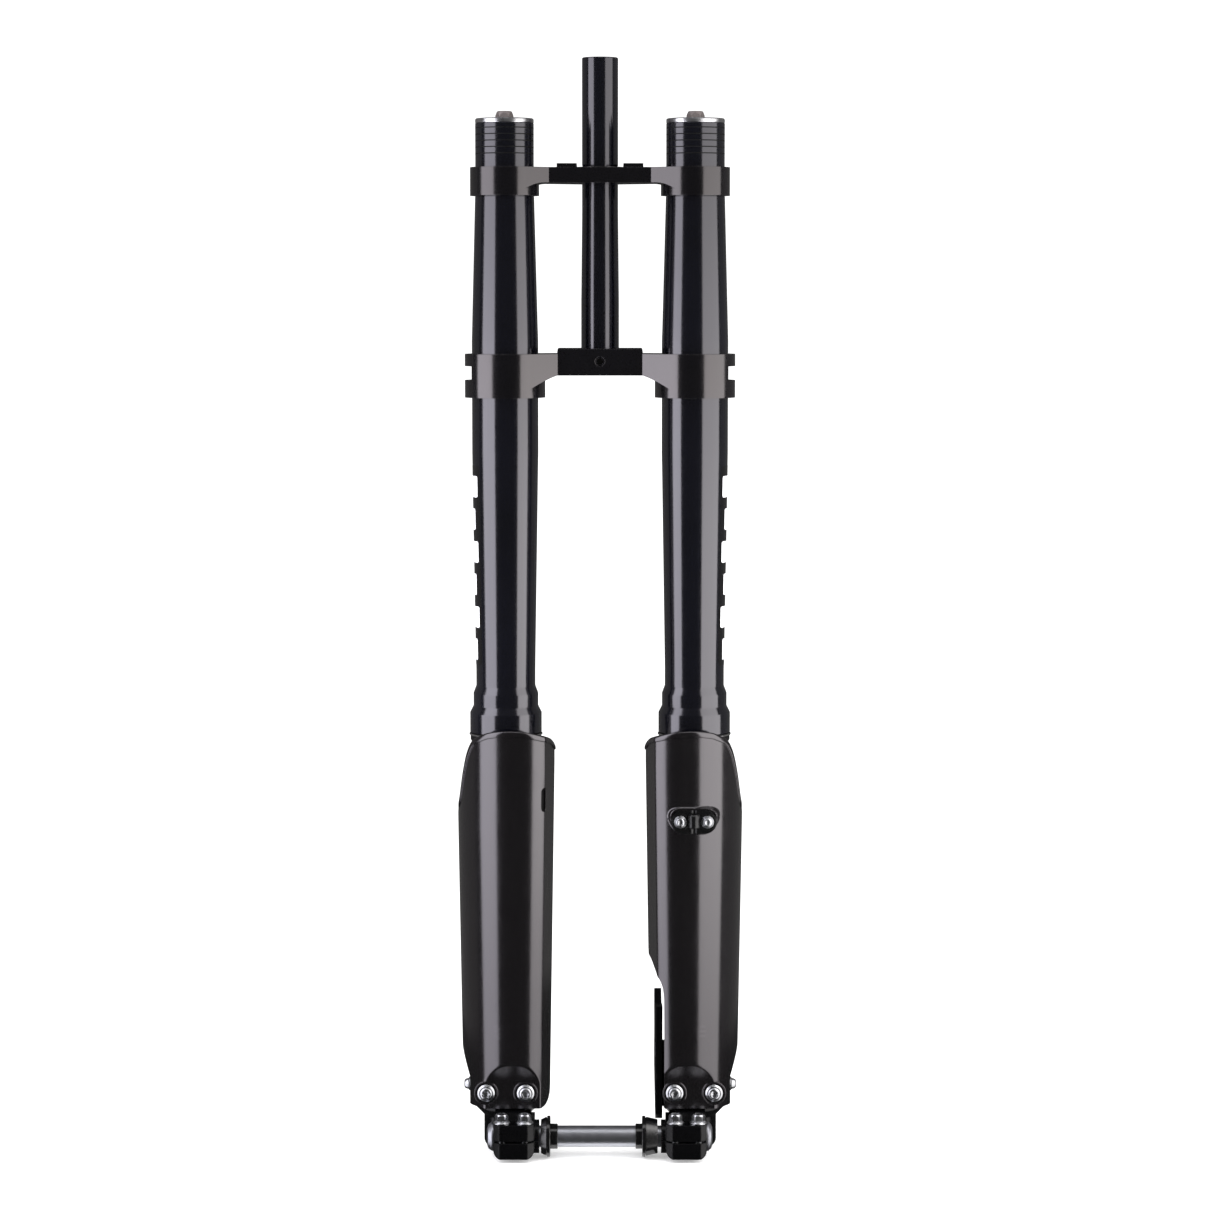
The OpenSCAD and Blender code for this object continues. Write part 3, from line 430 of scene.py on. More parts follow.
BARE = (0.30, 0.30, 0.31)
MATERIALS = {
    "black_anodised": surface_material(
        "black_anodised", (0.0016, 0.0018, 0.0036), 0.15, grain=2600, grain_height=0.004,
        stretch=(1, 1, 0.05), rough_spread=0.15, edge=0.12, dust=0.003,
        sheen_tint=(0.96, 0.94, 1.0)),
    "crown_black": surface_material(
        "crown_black", (0.0012, 0.0012, 0.0020), 0.18, grain=2200,
        grain_height=0.006, sheen_tint=(1.0, 0.94, 0.95),
        worn=BARE, wear=0.15, edge=0.5, rough_spread=0.15, dust=0.003),
    "lug_black": surface_material(
        "lug_black", (0.0012, 0.0012, 0.0015), 0.22, specular=0.12, grain=700,
        grain_height=0.02, edge=1.6, dust=0.003),
    "cap_silver": brushed_material(
        "cap_silver", (0.74, 0.74, 0.76), 0.32, "Z", grain=3000, grain_height=0.02,
        stretch=(1, 1, 4), spread=0.06, edge=0.15),
    "knob_grey": surface_material(
        "knob_grey", (0.22, 0.19, 0.185), 0.55, metallic=0.6, grain=2500, grain_height=0.05,
        spread=0.1, edge=0.3),
    "knob_red": surface_material(
        "knob_red", (0.32, 0.012, 0.012), 0.3, metallic=1.0, grain=2500, grain_height=0.03,
        worn=BARE, spread=0.12),
    "stanchion_chrome": brushed_material(
        "stanchion_chrome", (0.55, 0.55, 0.57), 0.12, "Z", anisotropy=0.3, grain=2400,
        grain_height=0.008, stretch=(1, 1, 6), spread=0.04),
    "bush_bronze": surface_material(
        "bush_bronze", (0.48, 0.31, 0.13), 0.35, metallic=1.0, spread=0.15),
    "seal_rubber": surface_material(
        "seal_rubber", (0.0015, 0.0015, 0.0018), 0.55, specular=0.12, grain=1800,
        grain_height=0.05, dust=0.004),
    "bright_steel": surface_material(
        "bright_steel", (0.60, 0.61, 0.63), 0.28, metallic=1.0, grain=2600,
        grain_height=0.03, spread=0.08, edge=0.2),
    "spring_steel": surface_material(
        "spring_steel", (0.18, 0.20, 0.25), 0.3, metallic=1.0, spread=0.12),
    "ground_steel": surface_material(
        "ground_steel", (0.6, 0.6, 0.6), 0.25, metallic=1.0, spread=0.08, edge=0.1),
    "axle_steel": surface_material(
        "axle_steel", (0.55, 0.56, 0.60), 0.38, metallic=1.0, grain=3500,
        grain_height=0.05, stretch=(6, 1, 1), spread=0.06, rough_spread=0.1, edge=0.3),
    "damper_alloy": surface_material(
        "damper_alloy", (0.5, 0.5, 0.52), 0.3, metallic=1.0, stretch=(1, 1, 5)),
    "spacer_black": surface_material(
        "spacer_black", (0.0016, 0.0016, 0.0019), 0.20, specular=0.4, grain=3000,
        grain_height=0.02, stretch=(6, 1, 1), edge=0.3),
    "guard_plastic": surface_material(
        "guard_plastic", (0.0026, 0.0022, 0.0026), 0.20, grain=520, grain_height=0.012,
        rough_spread=0.15, spread=0.15, edge=0.4, dust=0.006,
        sheen_tint=(1.0, 0.96, 1.0)),
    "guide_plastic": surface_material(
        "guide_plastic", (0.0022, 0.0022, 0.0024), 0.26, specular=0.2, grain=700,
        grain_height=0.02, edge=0.4, dust=0.005),
    "decal_white": surface_material(
        "decal_white", (0.84, 0.84, 0.86), 0.3, specular=0.4, spread=0.03, grain=1500,
        grain_height=0.01, edge=0.05),
    "decal_black": surface_material(
        "decal_black", (0.0010, 0.0010, 0.0016), 0.12, specular=0.45, spread=0.15, grain=1500,
        grain_height=0.004, edge=0.05),
}


def finish_piece(obj, slot, body, *nodes):
    """Gives a new piece its material and its body, and hides the CAD nodes it stands for."""
    obj.data.materials.clear()
    obj.data.materials.append(MATERIALS[slot])
    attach(obj, body)
    if nodes:
        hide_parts(*nodes)


def paint_frame():
    """The CAD nodes that stay in view take their slot's finished material."""
    for obj in frame["nodes"].values():
        for entry in obj.material_slots:
            entry.material = MATERIALS[entry.material.name]


# ---- Guards ----

# Plan of the outer surface, followed by its length s from the outer end of the narrow flat at
# the front; outward is positive. Outward: an arc, then a gentler one. Inward: the flat, an arc
# to a crease, a straight chamfer and a straight wall.
FLAT_X, ARC_X = -8.5, -4.0
FRONT_ARC, WING_ARC, INNER_ARC = 35.6, 64.7, 33.5
FRONT_TURN, WING_TURN, INNER_TURN = (math.radians(a) for a in (48.0, 41.9, 43.8))
CORNER_XY = (-38.5, -5.0)
REAR_Y = 16.0
S_WING = FRONT_ARC * FRONT_TURN
S_OUTER = S_WING + WING_ARC * WING_TURN
S_FLAT = FLAT_X - ARC_X
S_CREASE = S_FLAT - INNER_ARC * INNER_TURN
crease_xy = (FLAT_X - INNER_ARC * math.sin(INNER_TURN),
             -GUARD_R + INNER_ARC * (1 - math.cos(INNER_TURN)))
S_CORNER = S_CREASE - math.dist(crease_xy, CORNER_XY)
S_INNER = S_CORNER - (REAR_Y - CORNER_XY[1])
SLOT_S, SLOT_Z, SLOT_HALF, SLOT_R = S_CREASE + 0.4, -355.0, 6.2, 3.3
GUARD_WALL = 2.5
BEAD, BEAD_PROUD = 4.4, 1.05

# How far the top edge falls below the guard's top, by s.
TOP_FALL = [(-79, 17.2), (-57.5, 14.2), (-53.5, 11.8), (-45.5, 8.5), (-26.6, 4.3), (-18.1, 2.3),
            (-10.3, 0.7), (0, 0), (17.8, 1.8), (25.5, 4.4), (34.9, 8.4), (38, 11), (43, 17.4),
            (46.8, 24), (49.8, 30.7), (53.4, 38.8), (57, 48), (60.9, 56.5), (65.6, 62), (77.5, 74)]
# How far the bottom edge rises above the guard's foot, by s.
FOOT_RISE = [(-77, 9), (-56, 7), (-52, 3.4), (-47, 1.2), (-40, 0), (78, 0)]
# Edge of the cut-away for the caliper bracket: height and s.
CUT_AWAY = [(-482, -78), (-482.5, -59), (-484.5, -51), (-489, -41.8), (-496, -30.5),
            (-501, -26), (-507, -23.8), (-515, -23), (-603, -23.9)]

# Each half's narrowing: the height where it starts, over what height, and the share it takes.
INNER_NARROWING = (-330.0, 273.0, 0.109)
OUTER_NARROWING = (-375.0, 228.0, 0.090)

# Seats of the screws: how deep, how high the flat reaches, and where the recess ends.
FRONT_SEAT_Y, FRONT_SEAT_TOP, FRONT_ARCH_TOP = -31.0, -584.0, -564.0
FRONT_ARCH_HALF, FRONT_ARCH_PAST, FRONT_ARCH_BEND = 30.0, 1.5, 1.6
SIDE_SEAT_X, SIDE_SEAT_TOP, SIDE_SLOPE_TOP, SIDE_SLOPE_X = 29.3, -581.0, -559.0, 37.0
SEAT_ROUNDING = 0.9
# The hose guide's pad: its rim stands proud of the front, and the guide sits in its pocket.
PAD_HALF, PAD_R, PAD_RISE, PAD_TAPER = 8.2, 9.6, 0.7, 0.016
PAD_PROUD, PAD_SUNK = 1.2, 1.5
# The three low ribs above the front screws.
RIB_S, RIB_Z, RIB_PITCH, RIB_HEIGHT = 3.0, -540.0, 3.8, 0.22


def guard_plan(s):
    """x and y of the guard's plan, and the outward normal, before it narrows."""
    front = np.clip(s, 0, S_WING) / FRONT_ARC
    wing = FRONT_TURN + np.clip(s - S_WING, 0, None) / WING_ARC
    x = ARC_X + FRONT_ARC * np.sin(front) + WING_ARC * (np.sin(wing) - math.sin(FRONT_TURN))
    y = (-GUARD_R + FRONT_ARC * (1 - np.cos(front))
         + WING_ARC * (math.cos(FRONT_TURN) - np.cos(wing)))
    turn = np.where(s > S_WING, wing, front)
    inner = np.clip(S_FLAT - s, 0, S_FLAT - S_CREASE) / INNER_ARC
    x = x + np.clip(s, S_FLAT, 0) - INNER_ARC * np.sin(inner)
    y = y + INNER_ARC * (1 - np.cos(inner))
    chamfer = np.clip((S_CREASE - s) / (S_CREASE - S_CORNER), 0, 1)
    x = x + chamfer * (CORNER_XY[0] - crease_xy[0])
    y = y + chamfer * (CORNER_XY[1] - crease_xy[1]) + np.clip(S_CORNER - s, 0, None)
    across = math.atan2(CORNER_XY[1] - crease_xy[1], crease_xy[0] - CORNER_XY[0])
    turn = np.where(s < S_CORNER, -math.pi / 2,
                    np.where(s < S_CREASE, -across, np.where(s < 0, -inner, turn)))
    return x, y, np.sin(turn), -np.cos(turn)


def narrowing(x, z):
    """Share of the plan's width left at a height: the guard narrows towards the foot."""
    def share(start, height, loss):
        return 1 - loss * np.clip((start - z) / height, 0, 1.05)

    return np.where(x < GUARD_X, share(*INNER_NARROWING), share(*OUTER_NARROWING))


def stadium(x, z, half_length, radius):
    """Distance outside a straight slot shape with round ends, negative inside."""
    return np.hypot(np.clip(np.abs(x) - half_length, 0, None), z) - radius


def guard_surface(s, z, side):
    """Points of the guard's outer surface."""
    x, y = guard_plan(s)[:2]
    x = GUARD_X + (x - GUARD_X) * narrowing(x, z)
    climb = np.clip((z - FRONT_SEAT_TOP) / (FRONT_ARCH_TOP - FRONT_SEAT_TOP), 0, None)
    reach = GUARD_R + FRONT_ARCH_PAST + FRONT_SEAT_Y
    seat = FRONT_SEAT_Y - climb ** FRONT_ARCH_BEND * reach
    y = np.where(np.abs(x) < FRONT_ARCH_HALF, soft_max(y, seat, SEAT_ROUNDING), y)
    slope = np.clip((z - SIDE_SEAT_TOP) / (SIDE_SLOPE_TOP - SIDE_SEAT_TOP), 0, None)
    limit = SIDE_SEAT_X + slope * (SIDE_SLOPE_X - SIDE_SEAT_X)
    x = np.where(x > 0, -soft_max(-x, -limit, SEAT_ROUNDING), x)
    if side > 0:
        above = z - HOSE_Z
        rim = stadium((x - GUARD_X) * (1 - PAD_TAPER * above), above - PAD_RISE, PAD_HALF, PAD_R)
        raised = np.minimum(y, -GUARD_R - PAD_PROUD)
        y = y + (raised - y) * smooth_step(-rim, -1.8, 0)
        y = y + (-GUARD_R + PAD_SUNK - y) * smooth_step(-rim, 1.3, 1.9)
    for row in (-1, 0, 1):
        rib = stadium(s - RIB_S, z - RIB_Z + row * RIB_PITCH, 9.5, 0.9)
        y = y - RIB_HEIGHT * smooth_step(-rib, -0.5, 0.4)
    return np.stack([x, y, z], -1)


def guard_outline(side):
    """The guard's outline in (s, z)."""
    s = np.linspace(S_INNER, S_OUTER, 180)
    top = np.stack([s, GUARD_TOP - 2.0 - curve_through(s, TOP_FALL)], -1)[::-1]
    foot = np.stack([s, GUARD_FOOT + curve_through(s, FOOT_RISE)], -1)
    if side < 0:
        return np.vstack([foot, top])
    edge_z = np.linspace(GUARD_FOOT, -482, 140)
    edge_s = curve_through(-edge_z, [(-z, s) for z, s in CUT_AWAY])
    foot = foot[foot[:, 0] > edge_s[0]]
    cut = np.stack([edge_s, edge_z], -1)[::-1]
    return np.vstack([cut, foot, top])


def guard_bead(side):
    """The rolled lip along the top edge and down the outer rear edge, where it sinks flush."""
    s = np.linspace(S_INNER + 0.5, S_OUTER - 0.5, 170)
    z = GUARD_TOP - curve_through(s, TOP_FALL) - 0.4
    down = np.linspace(z[-1], GUARD_FOOT + 4, 70)[1:]
    s = np.concatenate([s, np.full(len(down), s[-1])])
    z = np.concatenate([z, down])
    for _ in range(3):
        s[1:-1] = (s[:-2] + 2 * s[1:-1] + s[2:]) / 4
        z[1:-1] = (z[:-2] + 2 * z[1:-1] + z[2:]) / 4
    path = guard_surface(s, z, side)
    nx, ny = guard_plan(s)[2:]
    for _ in range(4):
        nx[1:-1], ny[1:-1] = (nx[:-2] + nx[1:-1] + nx[2:]) / 3, (ny[:-2] + ny[1:-1] + ny[2:]) / 3
    section = rounded([(-2.5, -BEAD), (0.2, -BEAD - 0.2), (0.85, -BEAD + 0.1),
                       (BEAD_PROUD, -BEAD + 1.2), (0.6, -1.0), (-0.3, 0.1), (-1.6, 0.2),
                       (-2.6, -0.8)])
    normals = np.stack([nx, ny, np.zeros(len(s))], -1)
    flush = BEAD_PROUD * smooth_step(s, S_OUTER - 14, S_OUTER - 5)
    return sweep(path - normals * flush[:, None], normals, section)


def screw_boss(x, z):
    """The low round boss moulded round a front screw."""
    points, faces = lathe([(0, -1.5), (9.6, -1.5), (9.6, 0.15), (9.3, 0.4), (8.8, 0.4),
                           (8.5, 0.15), (0, 0.15)], 64)
    return turned_to(points, (0, -1, 0), (x, FRONT_SEAT_Y, z)), faces


def outside_slot(s, z, margin=0.0):
    """Distance outside the right guard's slot, made wider by a margin."""
    return stadium(z - SLOT_Z, s - SLOT_S, SLOT_HALF, SLOT_R + margin)


def build_shaded_slot_floor():
    """The floor of the right guard's slot, inside its wall: a real closing face, whose dark matte
    rubber finish is painted shade in the slot.
    """
    side, sunk, margin = -1, GUARD_WALL - 0.7, 0.4

    def surface(s, z):
        nx, ny = guard_plan(s)[2:]
        inward = -sunk * np.stack([nx, ny, np.zeros(len(s))], -1)
        return place(guard_surface(s, z, side) + inward, side)

    reach_s, reach_z = SLOT_R + 1, SLOT_HALF + SLOT_R + 1
    points, faces = trimmed_sheet(
        graded((SLOT_S - reach_s, SLOT_S + reach_s, 0.5)),
        graded((SLOT_Z - reach_z, SLOT_Z + reach_z, 0.6)),
        lambda s, z: -outside_slot(s, z, margin), surface)
    floor = make_object("guard_right_slot_shaded_floor", points, faces)
    thicken(floor, 0.4 * MM, place([0, 0, -450], side))
    # The dark matte rubber finish on this floor is painted shade in the slot.
    finish_piece(floor, "seal_rubber", "lower_legs")


def guard_grid(side):
    """Grid lines in s and z, closest at the ribs, the screws, and the slot or hose pad."""
    slot_step, front_step = (0.9, 0.8) if side > 0 else (0.35, 1.0)
    s_lines = graded((S_INNER, -34, 1.4), (-34, -21, slot_step), (-21, 27, front_step),
                     (-9, 15, 0.45), (27, S_OUTER, 1.3))
    low, high, step = (-387, -355, 0.55) if side > 0 else (-369, -341, 0.5)
    z_lines = graded((GUARD_FOOT - 1, -555, 0.8), (-555, -548, 1.5), (-548, -532, 0.4),
                     (-532, low, 2.2), (low, high, step), (high, GUARD_TOP + 1, 1.2))
    return s_lines, z_lines


def build_guard(name):
    """One moulded guard: its shell, its bead and the bosses of its front screws."""
    side = SIDES[name]
    s_lines, z_lines = guard_grid(side)
    outline = guard_outline(side)

    def inside(s, z):
        """Inside the outline and, on the right guard, outside its slot."""
        depth = inside_outline(s, z, outline)
        return depth if side > 0 else np.minimum(depth, outside_slot(s, z))

    points, faces = trimmed_sheet(s_lines, z_lines, inside,
                                  lambda s, z: place(guard_surface(s, z, side), side))
    guard = make_object("guard_" + name + "_shell", points, faces)
    thicken(guard, GUARD_WALL * MM, place([0, 0, -450], side))
    parts = [guard_bead(side)]
    for low, high in solids("guard_front_screws"):
        middle = (low + high) / 2
        if middle[0] * side > 0:
            parts.append(screw_boss(middle[0] * side - LEG_X, middle[2]))
    extra_points, extra_faces = joined(parts)
    trim = make_object("trim", place(extra_points, side), extra_faces)
    merge(guard, trim)
    finish_piece(guard, "guard_plastic", "lower_legs", "guard_" + name)


def merge(target, other):
    """Joins another object's mesh into target and removes the other."""
    both = bmesh.new()
    both.from_mesh(target.data)
    both.from_mesh(other.data)
    both.to_mesh(target.data)
    both.free()
    bpy.data.objects.remove(other)
    target.data.shade_smooth()
    target.data.set_sharp_from_angle(angle=math.radians(SHARP))


# ---- Screws and bolts ----

def button_head(head_r, head_h, shank_r, shank_len, socket_r):
    """A flanged button-head screw standing on z = 0, with a hexagonal socket."""
    return lathe([
        (0, -shank_len), (shank_r - 0.4, -shank_len), (shank_r, -shank_len + 0.4), (shank_r, 0),
        (head_r - 0.15, 0), (head_r, 0.15), (head_r, 0.75), (head_r - 0.25, 1.0),
        (head_r * 0.84, head_h * 0.30), (head_r * 0.80, head_h * 0.36),
        (head_r * 0.78, head_h * 0.52), (head_r * 0.72, head_h * 0.74),
        (head_r * 0.62, head_h * 0.90), (head_r * 0.50, head_h * 0.985),
        (socket_r * 1.12, head_h), (socket_r, head_h - 0.25, "hex"),
        (socket_r, head_h * 0.35, "hex"), (socket_r * 0.4, head_h * 0.25), (0, head_h * 0.22)])


def flange_head(flange_r, hex_r, head_h, shank_r, shank_len):
    """A hex-flange bolt standing on z = 0: sloping flange, hexagon, domed top with a dimple."""
    return lathe([
        (0, -shank_len), (shank_r - 0.4, -shank_len), (shank_r, -shank_len + 0.4), (shank_r, 0),
        (flange_r - 0.15, 0), (flange_r, 0.15), (flange_r, 0.75), (flange_r - 0.3, 1.05),
        (hex_r * 1.06, 1.9), (hex_r, 2.3, "hex"), (hex_r, head_h * 0.74, "hex"),
        (hex_r * 0.90, head_h * 0.86), (hex_r * 0.80, head_h * 0.97),
        (hex_r * 0.62, head_h), (hex_r * 0.52, head_h - 0.35), (0, head_h - 0.45)])


def socket_head(head_r, head_h, shank_r, shank_len, socket_r):
    """A socket-head cap screw standing on z = 0, its head with a chamfered rim."""
    return lathe([
        (0, -shank_len), (shank_r - 0.4, -shank_len), (shank_r, -shank_len + 0.4), (shank_r, 0),
        (head_r - 0.2, 0), (head_r, 0.2), (head_r, head_h - 0.6), (head_r - 0.2, head_h - 0.2),
        (head_r - 0.6, head_h), (socket_r * 1.12, head_h), (socket_r, head_h - 0.3, "hex"),
        (socket_r, head_h * 0.4, "hex"), (socket_r * 0.4, head_h * 0.3), (0, head_h * 0.28)])


def screw_group(node, direction, kind, sizes):
    """Detailed screws in place of a CAD group. direction(side) points out of each head;
    each head's top is where its own CAD solid ends in that direction."""
    shape, faces = kind(**sizes)
    parts = []
    for low, high in solids(node):
        middle = (low + high) / 2
        axis = np.array(direction(1 if middle[0] >= 0 else -1), float)
        end = np.where(axis > 0, high, np.where(axis < 0, low, middle))
        parts.append((turned_to(shape, axis, end - axis * sizes["head_h"]) * MM, faces))
    made = make_object(node + "_detailed", *joined(parts), sharp=30)
    moving = frame["record"]["behaviour"]["bodies"]["lower_legs"]
    body = "lower_legs" if node in moving else "crowns"
    finish_piece(made, "bright_steel", body, node)


def build_screws():
    """Every screw and bolt that shows, in place of its CAD group."""
    def forward(side):
        return (0, -1, 0)

    def upward(side):
        return (0, 0, 1)

    def outward(side):
        return (side, 0, 0)

    screw_group("guard_front_screws", forward, button_head, dict(
        head_r=6.9, head_h=4.6, shank_r=3, shank_len=10, socket_r=2.6))
    screw_group("guard_side_screws", outward, button_head, dict(
        head_r=5.5, head_h=4.8, shank_r=3, shank_len=8.5, socket_r=2.6))
    screw_group("hose_guide_screws", forward, button_head, dict(
        head_r=5.0, head_h=3.4, shank_r=2, shank_len=6.5, socket_r=1.9))
    screw_group("axle_pinch_bolts", upward, flange_head, dict(
        flange_r=6.85, hex_r=5.4, head_h=7.6, shank_r=3, shank_len=21))
    for node in ("upper_crown_bolts", "lower_crown_bolts"):
        screw_group(node, outward, socket_head, dict(
            head_r=4.9, head_h=5.5, shank_r=3, shank_len=17, socket_r=2.9))


# ---- Hose guide ----

def prism(outline, y0, y1):
    """A solid with an outline in x and z, from y0 to y1."""
    size = len(outline)
    points = [(x, y, z) for y in (y0, y1) for x, z in outline]
    faces = [tuple(range(size)), tuple(range(size, 2 * size))]
    faces += [(i, (i + 1) % size, size + (i + 1) % size, size + i) for i in range(size)]
    return np.array(points), faces


def stadium_outline(half_length, radius, steps=20):
    """Outline of a slot shape with round ends, in x and z."""
    turn = np.linspace(-math.pi / 2, math.pi / 2, steps)
    right = [(half_length + radius * math.cos(a), radius * math.sin(a)) for a in turn]
    return right + [(-x, -z) for x, z in right]


def cut_or_join(target, tool, operation):
    """One exact boolean with another object, which is then removed."""
    step = target.modifiers.new("step", "BOOLEAN")
    step.operation = operation
    step.object = tool
    step.solver = "EXACT"
    apply_modifiers(target)
    bpy.data.objects.remove(tool)


def build_hose_guide():
    """The clamp for the brake hose: a pad with two screw pockets and an open arch."""
    low, high = box_mm("hose_guide")
    screws = [((a + b) / 2 - [LEG_X, LEG_Y, 0]) for a, b in solids("hose_guide_screws")]
    face_y, back_y = -GUARD_R - 2.4, high[1] - LEG_Y
    arch_y, hose_r = low[1] - LEG_Y + 5.2, 2.8

    def solid(name, points, faces):
        return make_object(name, place(points, 1), faces)

    def cylinder(name, radius, start, direction, length):
        points, faces = lathe([(0, 0), (radius, 0), (radius, length), (0, length)], 64)
        return solid(name, turned_to(points, direction, start), faces)

    outline = [(x + GUARD_X, z + HOSE_Z) for x, z in stadium_outline(8.75, 9.25)]
    guide = solid("hose_guide_detailed", *prism(outline, face_y, back_y))
    arch, faces = lathe([(0, -4.6), (3.7, -4.6), (4.5, -3.8), (4.3, -1), (4.3, 1.5), (4.7, 3.9),
                         (4.9, 5.2), (4.0, 6.4), (0, 6.4)], 64)
    cut_or_join(guide, solid("arch", arch + [GUARD_X, arch_y, HOSE_Z], faces), "UNION")
    for spot in screws:
        boss = cylinder("boss", 6.6, (spot[0], face_y + 1, spot[2]), (0, -1, 0), 1.9)
        cut_or_join(guide, boss, "UNION")
    for spot in screws:
        pocket = cylinder("pocket", 5.35, (spot[0], face_y, spot[2]), (0, -1, 0), 6)
        cut_or_join(guide, pocket, "DIFFERENCE")
    hose = cylinder("hose", hose_r, (GUARD_X, arch_y, HOSE_Z - 20), (0, 0, 1), 40)
    cut_or_join(guide, hose, "DIFFERENCE")
    soft = guide.modifiers.new("soft", "BEVEL")
    soft.width = 0.45 * MM
    soft.segments = 3
    soft.limit_method = "ANGLE"
    soft.angle_limit = math.radians(40)
    apply_modifiers(guide, 50)
    finish_piece(guide, "guide_plastic", "lower_legs", "hose_guide")


# ---- Spring ----

def build_spring():
    """Round wire wound on a helix between the CAD spring's ends, its end turns closed up."""
    mean_r, wire_r, turns, sides, steps = 12.0, 2.3, 24, 12, 36
    count = turns * steps + 1
    turn = np.linspace(0, turns, count)
    closed = 0.8
    low, high = SPRING_LOW + wire_r, SPRING_HIGH - wire_r
    share = np.clip((turn - closed) / (turns - 2 * closed), 0, 1)
    end_lift = closed * 2 * wire_r
    z = np.where(turn < closed, low + turn * 2 * wire_r,
                 np.where(turn > turns - closed, high - (turns - turn) * 2 * wire_r,
                          low + end_lift + share * (high - low - 2 * end_lift)))
    angle = turn * 2 * math.pi
    path = np.stack([mean_r * np.cos(angle), mean_r * np.sin(angle), z], -1)
    normals = np.stack([np.cos(angle), np.sin(angle), np.zeros(count)], -1)
    round_section = [(wire_r * math.cos(a), wire_r * math.sin(a))
                     for a in np.linspace(0, 2 * math.pi, sides, endpoint=False)]
    points, faces = sweep(path, normals, round_section)
    spring = make_object("coil_spring_wound", place(points, 1), faces, 60)
    finish_piece(spring, "spring_steel", "crowns", "coil_spring")
    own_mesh(spring)


# ---- Lines and decals on the tubes: the lines are painted shade in the grooves, and the decals are plain bars on a glossy black film ----

TUBE_TOP_R, TUBE_MID_R, TUBE_WAIST_R = 23.0, 26.2, 23.5
TAPER_TOP, TAPER_FOOT = -82.0, -255.0
GROOVE_TOP, GROOVE_PITCH, GROOVE_COUNT = 172.5, 5.0, 5


def tube_radius(z):
    """The tube's radius where it tapers below the lower crown."""
    share = np.clip((TAPER_TOP - z) / (TAPER_TOP - TAPER_FOOT), 0, 1)
    return TUBE_MID_R + (TUBE_WAIST_R - TUBE_MID_R) * share


def tube_patch(outline, lift, side):
    """A thin film on the tube: outline in (arc length from the outer side, z)."""
    outline = np.asarray(outline, float)
    (a0, z0), (a1, z1) = outline.min(0), outline.max(0)
    step_a, step_z = 1.0, 2.0

    def surface(arc, z):
        radius = tube_radius(z)
        angle = arc / TUBE_WAIST_R
        out = radius + lift
        return place(np.stack([out * np.cos(angle), out * np.sin(angle), z], -1), side)

    return trimmed_sheet(graded((a0 - 1, a1 + 1, step_a)), graded((z0 - 1, z1 + 1, step_z)),
                         lambda a, z: inside_outline(a, z, outline), surface)


def bar(a0, a1, z0, z1, radius=1.0):
    """A rectangle with rounded corners, in (arc length, z)."""
    corners = [(a1 - radius, z1 - radius, 0), (a0 + radius, z1 - radius, 90),
               (a0 + radius, z0 + radius, 180), (a1 - radius, z0 + radius, 270)]
    return [(a + radius * math.cos(math.radians(t)), z + radius * math.sin(math.radians(t)))
            for a, z, start in corners for t in range(start, start + 91, 15)]


def film(name, parts, thickness, slot, side):
    """Open sheets on a tube, given a thickness and finished as one piece."""
    sheet = make_object(name, *joined(parts))
    thicken(sheet, thickness, place([0, 0, -170], side))
    finish_piece(sheet, slot, "crowns")


def ring(inner_r, outer_r, z, half, segments=128):
    """A flat ring round the leg's axis."""
    angle = np.arange(segments) * 2 * math.pi / segments
    section = [(inner_r, z - half), (outer_r, z - half), (outer_r, z + half), (inner_r, z + half)]
    points = [(r * math.cos(a), r * math.sin(a), h) for a in angle for r, h in section]
    size = len(points)
    faces = [(i + j, i + (j + 1) % 4, (i + 4 + (j + 1) % 4) % size, (i + 4 + j) % size)
             for i in range(0, size, 4) for j in range(4)]
    return np.array(points), faces


def build_groove_shade_lines():
    """Matte black rings in the height grooves near the top of each tube: painted shade for the
    grooves.
    """
    for name, side in SIDES.items():
        lines = [ring(TUBE_TOP_R - 0.35, TUBE_TOP_R + 0.03, GROOVE_TOP - i * GROOVE_PITCH, 0.42)
                 for i in range(GROOVE_COUNT)]
        points, faces = joined(lines)
        made = make_object("groove_shade_lines_" + name, place(points, side), faces)
        # The rough black rubber finish on these rings is painted shade in the grooves.
        finish_piece(made, "seal_rubber", "crowns")


def build_decals():
    """A black film with six plain white bars on the outer side of each tube."""
    half, top, foot = 13.5, -100.0, -246.0
    count, gap = 6, 9.0
    tall = (top - foot - (count - 1) * gap) / count
    for name, side in SIDES.items():
        ground = tube_patch(bar(-half - 2.5, half + 2.5, foot - 4, top + 8, 2), 0.10, side)
        film("decal_film_" + name, [ground], 0.08 * MM, "decal_black", side)
        bars = []
        for i in range(count):
            high = top - i * (tall + gap)
            reach = half if i % 2 == 0 else half - 4
            bars.append(tube_patch(bar(-reach, half, high - tall, high), 0.18, side))
        film("decal_bars_" + name, bars, 0.06 * MM, "decal_white", side)


# ---- Studio ----

def plain_material(name, colour, rough):
    """A matt studio surface, very slightly uneven."""
    material = bpy.data.materials.new(name)
    material.use_nodes = True
    tree = material.node_tree
    shader = tree.nodes["Principled BSDF"]
    where = add(tree, "TexCoord").outputs["Object"]
    tint = mixed(tree, span(tree, noise(tree, where, 3, 2), 0, 1),
                 tuple(c * 0.985 for c in colour), colour)
    tree.links.new(tint, shader.inputs["Base Color"])
    shader.inputs["Roughness"].default_value = rough
    shader.inputs["Specular IOR Level"].default_value = 0.0
    return material


